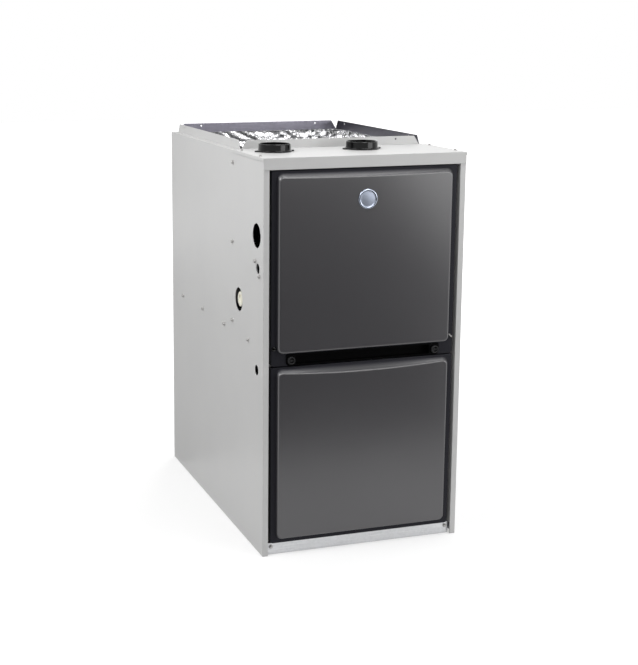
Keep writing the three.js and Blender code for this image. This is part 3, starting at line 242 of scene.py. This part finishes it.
def foil_facing():
    """Aluminium foil on glass-fibre blanket, laid by hand: mirror bright, and covered with small sharp
    creases 5 to 15 mm apart between its larger folds."""
    material, tree, shader = blank("aluminium_foil_facing", Metallic=1, Base_Color=linear("F2F2F3"))
    place = node(tree, "TexCoord").outputs["Object"]
    crease = node(tree, "TexVoronoi", {"Vector": place, "Scale": 120}, feature="DISTANCE_TO_EDGE")
    wrinkle = node(tree, "TexNoise", {"Vector": place, "Scale": 130, "Detail": 2, "Distortion": 1.5})
    height = node(tree, "Math", {0: crease.outputs["Distance"], 1: wrinkle.outputs["Fac"]}, operation="ADD")
    bump = node(tree, "Bump", {"Height": height.outputs[0], "Distance": 1.4 * MM, "Strength": 0.8})
    gloss = node(tree, "MapRange", {0: wrinkle.outputs["Fac"], 3: 0.12, 4: 0.26})
    tree.links.new(gloss.outputs[0], shader.inputs["Roughness"])
    tree.links.new(bump.outputs["Normal"], shader.inputs["Normal"])
    return material


def brushed_plate():
    """Aluminium plate, brushed in rings by turning it against the belt, then lacquered: streaks of
    0.5 mm that run round the middle, on a slightly blue silver."""
    material, tree, shader = blank("aluminium_plate_ring_brushed", Metallic=1, Coat_Weight=0.4)
    place = node(tree, "TexCoord").outputs["Object"]
    middle = node(tree, "Mapping", {"Vector": place, "Location": -at(0, 0, BADGE_Z)})
    flat = node(tree, "VectorMath", {0: middle.outputs[0], 1: (1, 0, 1)}, operation="MULTIPLY")
    radius = node(tree, "VectorMath", {0: flat.outputs[0]}, operation="LENGTH")
    stripe = node(tree, "TexNoise", {"W": radius.outputs["Value"], "Scale": 2000, "Detail": 3},
                  noise_dimensions="1D")
    colour = node(tree, "Mix", {0: stripe.outputs["Fac"], 6: linear("7C8595"), 7: linear("B6BCCA")},
                  data_type="RGBA")
    # The field inside the ring is duller than the ring.
    field = node(tree, "MapRange", {0: radius.outputs["Value"], 1: 15 * MM, 2: 16 * MM, 3: 0.34, 4: 0.1})
    gloss = node(tree, "Math", {0: stripe.outputs["Fac"], 1: 0.1, 2: field.outputs[0]},
                 operation="MULTIPLY_ADD")
    tree.links.new(colour.outputs[2], shader.inputs["Base Color"])
    tree.links.new(gloss.outputs[0], shader.inputs["Roughness"])
    return material


ZINC = galvanised()
LEFT_SHEET = prepainted("painted_sheet_left", (1, 0, 0), 21)
# Painted reflection: the right panel's bare zinc gets darker colours than the others', standing in for the
# dark surroundings that its flange's inner face mirrors.
RIGHT_SHEET = prepainted("painted_sheet_right", (-1, 0, 0), 21, "4E4D54", "6B6A72")
BACK_SHEET = prepainted("painted_sheet_back", (0, -1, 0), 0)
TOP_SHEET = prepainted("painted_sheet_top", (0, 0.7, -0.7), -10)
FOIL = foil_facing()
PLATE = brushed_plate()
CHARCOAL = door_coat()
# ABS, injection moulded against a polished die: deep black with a wet gloss.
BLACK = mottled("moulded_abs_gloss_black", "09090A", "060607", 60, (0.1, 0.16), 6, 0.01,
                Specular_IOR_Level=0.25)
# Nylon with glass fibre, moulded: dull black, slightly cloudy.
NYLON = mottled("moulded_glass_filled_nylon", "161618", "101012", 20, (0.38, 0.5), 0.8, 0.01,
                Specular_IOR_Level=0.35)
# Polypropylene with soot, moulded against an etched die: flat black that swallows the light. It lines the
# hand-hold as painted shade, a dark sheet where the upper pan's shade falls.
HAND_HOLD_SHADE_BLACK = mottled("moulded_polypropylene_black_painted_shade", "070708", "050506", 15, (0.6, 0.75), 0.8, 0.02,
                     Specular_IOR_Level=0.04)
# Polypropylene with talc, moulded: matt dark grey, faint flow marks.
GREY_PLASTIC = mottled("moulded_polypropylene_grey", "43464A", "393C40", 30, (0.45, 0.55), 0.9, 0.015)
# Polypropylene, undyed, moulded: waxy off-white.
CREAM = mottled("moulded_polypropylene_natural", "EBE9DE", "E0DDCB", 18, (0.35, 0.45), 1.2, 0.01,
                Subsurface_Weight=0.15, Subsurface_Radius=(0.004, 0.003, 0.002))
# PVC pipe, extruded: even white with a low gloss.
PVC = mottled("extruded_pvc_white", "EDEDEA", "E4E4E0", 60, (0.3, 0.4), 3, 0.01)
# Aluminised steel tube, drawn and bent: soft grey bands, dull.
TUBE = mottled("aluminised_steel_tube", "A9A9A8", "87888A", 25, (0.35, 0.5), 1.5, 0.02, Metallic=1)
# Aluminium, die cast and left raw: cold grey with a sandy grain.
CAST = mottled("die_cast_aluminium", "B4B6B9", "94969A", 12, (0.38, 0.55), 0.7, 0.03, Metallic=1)
# Stove enamel on a rolled steel can: black, even, half gloss.
ENAMEL = mottled("stove_enamel_black", "232428", "1B1C1F", 40, (0.28, 0.38), 1.5, 0.01)
# Glass-fibre circuit board under green lacquer: glossy, with the copper's faint blocks below it.
BOARD = mottled("lacquered_circuit_board", "2F6B49", "1F4F35", 4, (0.18, 0.3), 1, 0.02)
# Steel, cold headed, zinc-flake coated: silver grey, half metal and half dull.
PLATED = mottled("zinc_flake_coated_steel", "B9B8B6", "A6A5A4", 5, (0.24, 0.34), 0.8, 0.01, Metallic=0.45)

NODE_FINISH = {
    "left_side_panel": LEFT_SHEET, "right_side_panel": RIGHT_SHEET,
    "back_panel": BACK_SHEET, "top_panel": TOP_SHEET,
    "heat_cell_1": TUBE, "heat_cell_2": TUBE, "heat_cell_3": TUBE, "rear_header": TUBE,
    "condensing_coil": CAST, "gas_valve": CAST,
    "inducer_wheel": GREY_PLASTIC, "drain_header": GREY_PLASTIC, "door_switch": GREY_PLASTIC,
    "inducer_housing": NYLON, "pressure_switch": NYLON, "gas_valve_switch": NYLON,
    "rollout_switch_left": NYLON, "rollout_switch_right": NYLON,
    "inducer_motor": ENAMEL, "transformer": ENAMEL, "blower_motor": ENAMEL,
    "vent_pipe": PVC, "intake_pipe": PVC, "condensate_trap": PVC,
    "igniter": CREAM, "flame_sensor": CREAM, "door_switch_plunger": CREAM,
    "rollout_button_left": CREAM, "rollout_button_right": CREAM,
    "control_board": BOARD, "upper_door": CHARCOAL, "lower_door": CHARCOAL, "door_badge": PLATE,
    "door_knob_left": NYLON, "door_knob_right": NYLON, "vent_collar": BLACK, "intake_collar": BLACK,
    "foil_liner_left": FOIL, "foil_liner_right": FOIL, "foil_liner_back": FOIL,
}
for name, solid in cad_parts.items():
    for slot in solid.material_slots:
        slot.material = NODE_FINISH.get(name, ZINC)


# ------------------------------------------------------------------ shaping

def piece(bm, name, finish, body, slot, *nodes, sharp=32):
    """Makes the mesh a piece of the furnace that rides on a body and stands for those nodes."""
    mesh = bpy.data.meshes.new(name)
    bm.to_mesh(mesh)
    bm.free()
    mesh.shade_smooth()
    mesh.set_sharp_from_angle(angle=math.radians(sharp))
    mesh.materials.append(finish)
    made = bpy.data.objects.new(name, mesh)
    scene.collection.objects.link(made)
    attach(made, body)
    if nodes:
        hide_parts(*nodes)
    return made


def softened(made, width):
    """Rounds a piece's edges, then lets its flat faces keep their own direction."""
    edges = made.modifiers.new("rounded edges", "BEVEL")
    edges.width = width * MM
    edges.segments = 2
    edges.limit_method = "ANGLE"
    edges.angle_limit = math.radians(35)
    made.modifiers.new("flat faces", "WEIGHTED_NORMAL").keep_sharp = True


def turned(bm, profile, steps=48):
    """Spins (radius, height) pairs about Z. Gives the new vertices."""
    before = set(bm.verts)
    row = [bm.verts.new((radius * MM, 0, height * MM)) for radius, height in profile]
    edges = [bm.edges.new(pair) for pair in zip(row, row[1:])]
    bmesh.ops.spin(bm, geom=row + edges, cent=(0, 0, 0), axis=(0, 0, 1), angle=2 * math.pi, steps=steps,
                   use_merge=True)
    bmesh.ops.remove_doubles(bm, verts=[v for v in bm.verts if v not in before], dist=0.01 * MM)
    return [v for v in bm.verts if v not in before]


def slab(bm, low, high):
    """A block between two corners in millimetres, about its own origin. Gives its vertices."""
    size = Vector(high) - Vector(low)
    place = Matrix.Translation((Vector(high) + Vector(low)) * MM / 2) @ Matrix.Diagonal((*(size * MM), 1))
    return bmesh.ops.create_cube(bm, size=1, matrix=place)["verts"]


def settle(bm, turn, place, verts=None):
    """Turns a shape that was made about the origin and puts it in its place."""
    bmesh.ops.transform(bm, matrix=Matrix.Translation(place) @ turn.to_4x4(), verts=verts or bm.verts)


UP = Matrix.Identity(3)
TO_FRONT = Matrix.Rotation(math.radians(90), 3, "X")
TO_BACK = Matrix.Rotation(math.radians(-90), 3, "X")
TO_LEFT = Matrix.Rotation(math.radians(-90), 3, "Y")
TO_RIGHT = Matrix.Rotation(math.radians(90), 3, "Y")


# ------------------------------------------------------------------ doors

def stretched_out(bm, edges, steps, centre):
    """Extrudes a closed edge loop through steps of (growth, depth) in millimetres, growing it evenly
    about centre. Gives the last loop."""
    for growth, depth in steps:
        made = bmesh.ops.extrude_edge_only(bm, edges=edges)["geom"]
        verts = [g for g in made if isinstance(g, bmesh.types.BMVert)]
        edges = [g for g in made if isinstance(g, bmesh.types.BMEdge) and set(g.verts) <= set(verts)]
        half_x = max(abs(v.co.x - centre.x) for v in verts)
        half_z = max(abs(v.co.z - centre.z) for v in verts)
        for v in verts:
            v.co.x += (v.co.x - centre.x) / half_x * growth * MM
            v.co.z += (v.co.z - centre.z) / half_z * growth * MM
            v.co.y += depth * MM
    return edges


def upright_face(bm, half, low, high, y, low_corner, high_corner):
    """A flat face that looks forward, with its lower and upper corners rounded."""
    verts = [bm.verts.new(at(x, y, z)) for x, z in ((-half, low), (half, low), (half, high), (-half, high))]
    face = bm.faces.new(verts)
    kept = set(bm.faces) - {face}
    for pair, radius in ((verts[:2], low_corner), (verts[2:], high_corner)):
        if radius:
            bmesh.ops.bevel(bm, geom=pair, offset=radius * MM, segments=7, profile=0.5,
                            affect="VERTICES", material=-1)
    return (set(bm.faces) - kept).pop()


def quarter_turn(radius, outwards):
    """The steps, for stretched_out, of a rounded fold in three facets. It starts by growing where it
    goes outwards, and ends by growing where it goes inwards."""
    angles = [math.radians(a) for a in (0, 30, 60, 90)]
    steps = []
    for a, b in zip(angles, angles[1:]):
        rise, run = radius * (math.sin(b) - math.sin(a)), radius * (math.cos(a) - math.cos(b))
        steps.append((rise, run) if outwards else (run, rise))
    return steps


def pressed_door(low, high, pan_low, pan_high, fall, dip, hand_hold=None):
    """A door pressed from one sheet: a flat rim, a pan that stands forward with soft edges, and a
    skirt turned back all round. The pan lies pan_low above the door's lower edge and pan_high below
    its upper edge. Its top wall slopes by fall, and by dip more in the middle."""
    bm = bmesh.new()
    centre = at(0, 0, (low + high) / 2)
    pan = upright_face(bm, DOOR_HALF - RIM_WIDTH - FILLET, low + pan_low + FILLET, high - pan_high - FILLET,
                       DOOR_RIM_Y - FILLET, PAN_CORNER, PAN_CORNER)
    crest = max(pan.edges, key=lambda e: (e.calc_length() > 0.2, e.verts[0].co.z + e.verts[1].co.z))
    bmesh.ops.subdivide_edges(bm, edges=[crest], cuts=40)
    drop = DOOR_RIM_Y - FILLET - DOOR_FACE_Y
    bmesh.ops.inset_region(bm, faces=[pan], thickness=PAN_WALL * MM, depth=drop * MM,
                           use_even_offset=True, use_boundary=True)
    for v in pan.verts:
        if v.co.z > centre.z:
            v.co.z -= (fall + dip * max(0, 1 - (v.co.x / (DIP_HALF * MM)) ** 2)) * MM
    bmesh.ops.bevel(bm, geom=list(pan.edges), offset=PAN_TURN * MM, segments=6, profile=0.5,
                    affect="EDGES", material=-1)
    foot = [e for e in bm.edges if e.is_boundary]
    pan_middle = (low + pan_low + high - pan_high) / 2
    loops = stretched_out(bm, foot, quarter_turn(FILLET, False), at(0, 0, pan_middle))
    rim = upright_face(bm, DOOR_HALF - FILLET, low + FILLET, high - FILLET, DOOR_RIM_Y, 7, 0)
    edge = list(rim.edges)
    bmesh.ops.delete(bm, geom=[rim], context="FACES_ONLY")
    loops += edge
    if hand_hold:
        hold = upright_face(bm, *hand_hold, DOOR_RIM_Y, 3, 3)
        mouth = list(hold.edges)
        bmesh.ops.delete(bm, geom=[hold], context="FACES_ONLY")
        loops += mouth
    bmesh.ops.triangle_fill(bm, use_beauty=True, edges=loops, normal=(0, -1, 0))
    skirt = DOOR_BACK_Y - DOOR_RIM_Y - FILLET
    stretched_out(bm, edge, quarter_turn(FILLET, True) + [(0, skirt)], centre)
    if hand_hold:
        recess = DOOR_BACK_Y - SHEET - DOOR_RIM_Y
        back = stretched_out(bm, mouth, [(0, recess)], at(0, 0, sum(hand_hold[1:]) / 2))
        bmesh.ops.edgeloop_fill(bm, edges=back)
    bmesh.ops.remove_doubles(bm, verts=bm.verts, dist=0.001 * MM)
    face_forward(bm)
    return bm


def face_forward(bm):
    """Makes a skin's faces agree, with its largest face looking forward."""
    bmesh.ops.recalc_face_normals(bm, faces=bm.faces)
    if max(bm.faces, key=lambda f: f.calc_area()).normal.y > 0:
        bmesh.ops.reverse_faces(bm, faces=bm.faces)


def gauged(made):
    """Gives a skin the sheet's thickness, inwards."""
    wall = made.modifiers.new("sheet", "SOLIDIFY")
    wall.thickness = SHEET * MM
    wall.offset = -1
    wall.use_even_offset = True
    made.modifiers.new("flat faces", "WEIGHTED_NORMAL").keep_sharp = True


upper = pressed_door(*UPPER_DOOR, pan_low=25, pan_high=3, fall=5.5, dip=2.5, hand_hold=HAND_HOLD)
gauged(piece(upper, "pressed_upper_door", CHARCOAL, "upper_door", "charcoal", "upper_door"))
lower = pressed_door(*LOWER_DOOR, pan_low=8, pan_high=2, fall=4.5, dip=7)
gauged(piece(lower, "pressed_lower_door", CHARCOAL, "lower_door", "charcoal", "lower_door"))


def hand_hold_shade_insert():
    """A black moulding that lines the hand-hold: a dark sheet that stands in for the shade under the upper
    pan, painted shade. Its flange runs out past both latches and blacks out the rim there too.
    """
    bm = bmesh.new()
    front = DOOR_RIM_Y - 0.5
    clear = 0.8  # between the throat and the hand-hold's walls
    half, low, high = HAND_HOLD
    flange = upright_face(bm, half + 21, low - 1.4, high + 2, front, 8, 4)
    mouth = upright_face(bm, half - 1, low + clear, high - clear, front, 3, 3)
    around, throat = list(flange.edges), list(mouth.edges)
    bmesh.ops.delete(bm, geom=[flange, mouth], context="FACES_ONLY")
    bmesh.ops.triangle_fill(bm, use_beauty=True, edges=around + throat, normal=(0, -1, 0))
    throat = stretched_out(bm, throat, [(0, 14.6)], at(0, 0, (low + high) / 2))
    bmesh.ops.edgeloop_fill(bm, edges=throat)
    face_forward(bm)
    lining = piece(bm, "hand_hold_shade_insert", HAND_HOLD_SHADE_BLACK, "upper_door", "black_plastic")
    wall = lining.modifiers.new("moulded wall", "SOLIDIFY")
    wall.thickness = 0.4 * MM
    wall.offset = -1


hand_hold_shade_insert()

# A black screw at the left end of the rim, and a bright spring clip at the right end.
button = bmesh.new()
turned(button, [(5, 0), (5, 0.9), (4.2, 2.4), (2.4, 3.4), (0, 3.7), (0, 0), (5, 0)], steps=24)
settle(button, TO_FRONT, at(-RIM_FITTING_X - 0.5, DOOR_RIM_Y, 446))
bmesh.ops.recalc_face_normals(button, faces=button.faces)
piece(button, "door_rim_screw", BLACK, "upper_door", "black_plastic")
clip = bmesh.new()
slab(clip, (-5.5, -1.5, 0), (5.5, 1.5, 2.4))
slab(clip, (-5.5, -1.5, 2.2), (-3, 1.5, 4.4))
clip_slant = Matrix.Rotation(math.radians(-42), 3, "Z")
settle(clip, TO_FRONT @ clip_slant, at(RIM_FITTING_X, DOOR_RIM_Y, 447))
softened(piece(clip, "door_rim_clip", PLATED, "upper_door", "zinc_steel"), 0.6)

# The tab that meets the door switch stands on the back of the lower pan.
tab = bmesh.new()
slab(tab, *STRIKER)
settle(tab, UP, at(0, 0, 0))
softened(piece(tab, "door_switch_striker", CHARCOAL, "lower_door", "charcoal"), 0.6)


def latch(side):
    """Quarter-turn latch: a raised ring round a recess with a finger bar, a shank and its cam."""
    bm = bmesh.new()
    turned(bm, [(0, 1.8), (5.2, 1.8), (5.6, 5.2), (6.2, 6), (7.3, 6), (8.2, 5), (8.2, 0), (0, 0)])
    slab(bm, (-5.3, -1.3, 1.5), (5.3, 1.3, 5.4))
    turned(bm, [(0, 0.5), (3, 0.5), (3, -20), (0, -20)], steps=16)
    slab(bm, (-2.5, -7, -22.8), (2.5, 7, -20))
    settle(bm, TO_FRONT, at(side * KNOB_X, DOOR_RIM_Y - 0.6, KNOB_Z))
    bmesh.ops.recalc_face_normals(bm, faces=bm.faces)
    way = "left" if side < 0 else "right"
    made = piece(bm, "latch_" + way, NYLON, "knob_" + way, "black_plastic", "door_knob_" + way)
    softened(made, 0.3)


for side in (-1, 1):
    latch(side)

# Bare round plate on the upper door: a rounded ring round a field that is hardly domed.
plate = bmesh.new()
turned(plate, [(0, 1.5), (8, 1.35), (14.6, 0.9), (15.6, 0.9), (16.3, 1.7), (17.4, 2.3), (18.6, 2.5),
               (19.8, 2.2), (20.7, 1.4), (21, 0.5), (21, 0), (0, 0)], steps=96)
settle(plate, TO_FRONT, at(0, DOOR_FACE_Y - 0.3, BADGE_Z))
bmesh.ops.recalc_face_normals(plate, faces=plate.faces)
softened(piece(plate, "round_door_plate", PLATE, "upper_door", "badge_plate", "door_badge"), 0.25)


# ------------------------------------------------------------------ collars and caps

def pipe_collar(x, name, node_name):
    """Pipe collar: a socket with a rounded mouth on a flange with two screw ears."""
    bm = bmesh.new()
    turned(bm, [(34, -14), (34, 0), (36.5, 0), (36.5, 2.4), (35.9, 3), (34.4, 3.4), (34, 4.4),
                (33.6, 15.8), (32.6, 17), (31.2, 17), (30.5, 16.3), (30.5, -14), (34, -14)], steps=96)
    settle(bm, UP, at(x, COLLAR_Y, CABINET_TOP))
    bmesh.ops.recalc_face_normals(bm, faces=bm.faces)
    softened(piece(bm, name, BLACK, "furnace", "black_plastic", node_name), 0.2)
    ears = bmesh.new()
    for side in (-1, 1):
        lobe = turned(ears, [(0, 0), (6.5, 0), (6.5, 2.8), (0, 2.8)], steps=32)
        settle(ears, UP, Vector((side * 37, 0, 0)) * MM, lobe)
    settle(ears, UP, at(x, COLLAR_Y, CABINET_TOP))
    softened(piece(ears, name + "_ears", BLACK, "furnace", "black_plastic"), 0.4)


pipe_collar(VENT_X, "vent_pipe_collar", "vent_collar")
pipe_collar(AIR_X, "air_pipe_collar", "intake_collar")


# Drain cap, pushed on the drain outlet just inside the left panel's hole.
cap = bmesh.new()
turned(cap, [(13.1, 0), (16.3, 0), (16.5, 0.4), (16.5, 8.4), (16, 9.5), (14.9, 10), (10.2, 10),
             (9.3, 9.6), (8.8, 7.7), (2.4, 7.5), (1.8, 8.3), (0, 8.5), (0, 7), (13.1, 7), (13.1, 0)])
settle(cap, TO_LEFT, at(*DRAIN_CAP))
bmesh.ops.recalc_face_normals(cap, faces=cap.faces)
softened(piece(cap, "drain_outlet_cap", CREAM, "furnace", "cream_plastic", "drain_cap"), 0.25)


# ------------------------------------------------------------------ foil

def crumple(place, folds):
    """How far the foil stands off its blanket there, from 0 to 1: long slanted pillows between sharp
    creases, which give way to small dents where folds is low."""
    across = (place.x + place.y) * 0.5 + place.z * 0.87
    along = (place.x + place.y) * 0.87 - place.z * 0.5
    # Pillows a metre across and along their slant, and small dents a metre.
    pillows_across, pillows_along, dents = 62, 15, 95
    long = abs(noise.noise(Vector((across * pillows_across, along * pillows_along, 3.7)))) * 2.4
    small = abs(noise.noise(place * dents)) * 2.4
    # The pillows die away towards the right.
    folds *= max(0, min(1, 0.8 - 4 * place.x))
    return max(0, min(1, folds * long + (1 - folds) * small))


def foil_blanket(name, depth_axis, way, folds):
    """Replaces a plain blanket with one whose inner face is creased foil. depth_axis is 0 or 1, the
    axis through the blanket, and way is 1 or -1, the way along it that the foil looks."""
    low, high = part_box(name)
    along = 1 - depth_axis
    spans = (high[along] - low[along], high[2] - low[2])
    bm = bmesh.new()
    counts = [int(span / (FOIL_STEP * MM)) for span in spans]
    bmesh.ops.create_grid(bm, x_segments=counts[0], y_segments=counts[1], size=0.5)
    face, back = (high, low) if way > 0 else (low, high)
    for v in bm.verts:
        u, w = v.co.x + 0.5, v.co.y + 0.5
        place = Vector((0, 0, low[2] + w * spans[1]))
        place[along] = low[along] + u * spans[0]
        place[depth_axis] = face[depth_axis]
        from_side = min(u, 1 - u) * spans[0]
        from_end = min(w, 1 - w) * spans[1]
        inside = min(1, from_side / (FOIL_EDGE * MM), from_end / (FOIL_EDGE * MM))
        place[depth_axis] -= way * FOIL_DEPTH * MM * (1 - crumple(place, folds)) * inside
        v.co = place
    rims = [e for e in bm.edges if e.is_boundary]
    made = bmesh.ops.extrude_edge_only(bm, edges=rims)["geom"]
    verts = [g for g in made if isinstance(g, bmesh.types.BMVert)]
    for v in verts:
        v.co[depth_axis] = back[depth_axis]
    bmesh.ops.edgeloop_fill(bm, edges=[e for e in bm.edges if e.is_boundary])
    bmesh.ops.recalc_face_normals(bm, faces=bm.faces)
    piece(bm, "creased_" + name, FOIL, "furnace", "foil", name, sharp=60)


foil_blanket("foil_liner_back", depth_axis=1, way=-1, folds=0.9)
foil_blanket("foil_liner_left", depth_axis=0, way=1, folds=0.35)
foil_blanket("foil_liner_right", depth_axis=0, way=-1, folds=0.35)


# ------------------------------------------------------------------ screws

def screw(bm, turn, place, size=1):
    """Hex washer-head sheet-metal screw, 10 mm across its washer."""
    profile = [(0, 0), (5, 0), (5, 0.6), (4, 1.2), (0, 1.2)]
    washer = turned(bm, [(radius * size, height * size) for radius, height in profile], steps=20)
    head = bmesh.ops.create_cone(bm, cap_ends=True, segments=6, radius1=3.9 * size * MM,
                                 radius2=3.5 * size * MM, depth=3.8 * size * MM)["verts"]
    bmesh.ops.translate(bm, verts=head, vec=(0, 0, 2.9 * size * MM))
    settle(bm, turn, place, washer + head)


def screw_set(name, places, turn, soft, size=1):
    """Screws at places in the frame, all with their heads looking one way."""
    bm = bmesh.new()
    for place in places:
        screw(bm, turn, place, size)
    softened(piece(bm, name, PLATED, "furnace", "zinc_steel"), soft)


# Depth and height of the screws in each side panel, which hold the panels and shelves inside.
SIDE_SCREWS = ((201, 811), (204, 640), (205, 467), (604, 443), (434, 445), (265, 446), (95, 447),
               (49, 623), (24, 595))
for side, turn, way in ((-1, TO_LEFT, "left"), (1, TO_RIGHT, "right")):
    screw_set("side_screws_" + way, [at(side * CABINET_HALF, y, z) for y, z in SIDE_SCREWS], turn, 0.5)
back_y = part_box("back_panel")[1].y / MM + FRONT
back_places = [at(x, back_y, z) for x in (-213, 213) for z in (36, 240, 445, 650, 808)]
screw_set("back_screws", back_places, TO_BACK, 0.5)
top_places = [at(x, y, CABINET_TOP) for x in (217, -217) for y in (163, 39)]
screw_set("top_screws", top_places, UP, 0.2, size=0.7)
screw_set("base_rail_screws", [at(x, 8, 17) for x in (-202, 202)], TO_FRONT, 0.4, size=0.9)

# The top panel's edges turn down over the side panels.
lips = bmesh.new()
for low in (-CABINET_HALF - SHEET, CABINET_HALF):
    slab(lips, (low, -1.5, CABINET_TOP - TOP_LIP), (low + SHEET, 197, CABINET_TOP))
settle(lips, UP, at(0, 0, 0))
softened(piece(lips, "top_panel_side_lips", TOP_SHEET, "furnace", "painted_steel"), 0.5)


# ------------------------------------------------------------------ floor and light

def stage_piece(name, bm, material):
    """A flat thing of the studio's, which is no part of the furnace."""
    mesh = bpy.data.meshes.new(name)
    bm.to_mesh(mesh)
    bm.free()
    mesh.materials.append(material)
    made = bpy.data.objects.new(name, mesh)
    scene.collection.objects.link(made)
    return made


def white_where_seen(tree):
    """1 for rays that come straight from the camera or off a mirror, through glass too, and 0 for
    the rest."""
    path = node(tree, "LightPath")
    seen = node(tree, "Math", {0: path.outputs["Is Camera Ray"], 1: path.outputs["Is Glossy Ray"]},
                operation="MAXIMUM")
    through = node(tree, "Math", {0: seen.outputs[0], 1: path.outputs["Is Transmission Ray"]},
                   operation="MAXIMUM")
    return through.outputs[0]


def studio():
    """A pale floor that fades to white away from the furnace, soft lamps, a world that is white where it
    is seen, and two black cards and a grey one that only reflections show, as a photographer sets them
    to draw tones in satin paint."""
    material, tree, shader = blank("studio_floor_matt_white", Roughness=0.9, Base_Color=linear("C0C0C0"))
    away = node(tree, "VectorMath", {0: node(tree, "TexCoord").outputs["Object"]}, operation="LENGTH")
    fade = node(tree, "MapRange", {0: away.outputs["Value"], 1: 0.5, 2: 3.5, 3: 0.5, 4: 1})
    glow = node(tree, "Math", {0: white_where_seen(tree), 1: fade.outputs[0]}, operation="MULTIPLY")
    tree.links.new(glow.outputs[0], shader.inputs["Emission Strength"])
    shader.inputs["Emission Color"].default_value = (1, 1, 1, 1)
    bm = bmesh.new()
    bmesh.ops.create_grid(bm, x_segments=1, y_segments=1, size=12)
    floor = stage_piece("floor", bm, material)
    floor.location.z = -0.0005

    felt = blank("studio_card_black_felt", Roughness=1, Specular_IOR_Level=0, Base_Color=linear("080808"))[0]
    paper = blank("studio_card_grey_paper", Roughness=1, Specular_IOR_Level=0, Base_Color=linear("BEBEBE"))[0]
    front = ((-700, -1000, 0), (620, -1000, 0), (620, -1000, 380), (350, -1000, 805), (-700, -1000, 805))
    behind = ((-480, 1500, 500), (-480, 1500, 1200), (200, 1500, 1200), (200, 1500, 500))
    low = ((-1700, 300, 1), (-230, 300, 1), (-230, 3300, 1), (-1700, 3300, 1))
    for name, corners, finish in (("front", front, felt), ("behind", behind, felt), ("low", low, paper)):
        bm = bmesh.new()
        bm.faces.new([bm.verts.new(Vector(corner) * MM) for corner in corners])
        card = stage_piece("card_" + name, bm, finish)
        card.visible_camera = card.visible_diffuse = card.visible_shadow = card.visible_transmission = False

    world = bpy.data.worlds.new("studio")
    world.use_nodes = True
    scene.world = world
    tree = world.node_tree
    back = tree.nodes["Background"]
    level = node(tree, "MapRange", {0: white_where_seen(tree), 3: 0.45, 4: 1})
    back.inputs["Color"].default_value = (1, 1, 1, 1)
    tree.links.new(level.outputs[0], back.inputs["Strength"])

    # Name, place, size and aim in metres, with the power in watts before the aim.
    lamps = (("top", (0.5, -0.5, 2.6), (1.9, 0.4), 16, (0.1, -0.1, 0.8)),
             ("left", (-1.7, -0.5, 2.4), (1.2, 1.2), 38, (0, 0, 1.1)),
             ("right", (2.4, -2.9, 1.05), (2.4, 1.2), 38, (0, -0.3, 0.7)),
             ("rear", (1.4, 2.6, 2.0), (1.4, 1.4), 40, (0, 0.3, 0.3)),
             ("strip", (0.3, -2.2, 2.2), (2.2, 0.5), 24, (0, -0.35, 0.8)))
    for name, place, size, power, aim in lamps:
        lamp = bpy.data.objects.new("lamp_" + name, bpy.data.lights.new("lamp_" + name, "AREA"))
        scene.collection.objects.link(lamp)
        lamp.data.shape = "RECTANGLE"
        lamp.data.size, lamp.data.size_y = size
        lamp.data.energy = power
        lamp.location = place
        lamp.visible_glossy = name != "rear"
        lamp.visible_diffuse = name != "strip"
        lamp.rotation_euler = (Vector(aim) - Vector(place)).to_track_quat("-Z", "Y").to_euler()


studio()
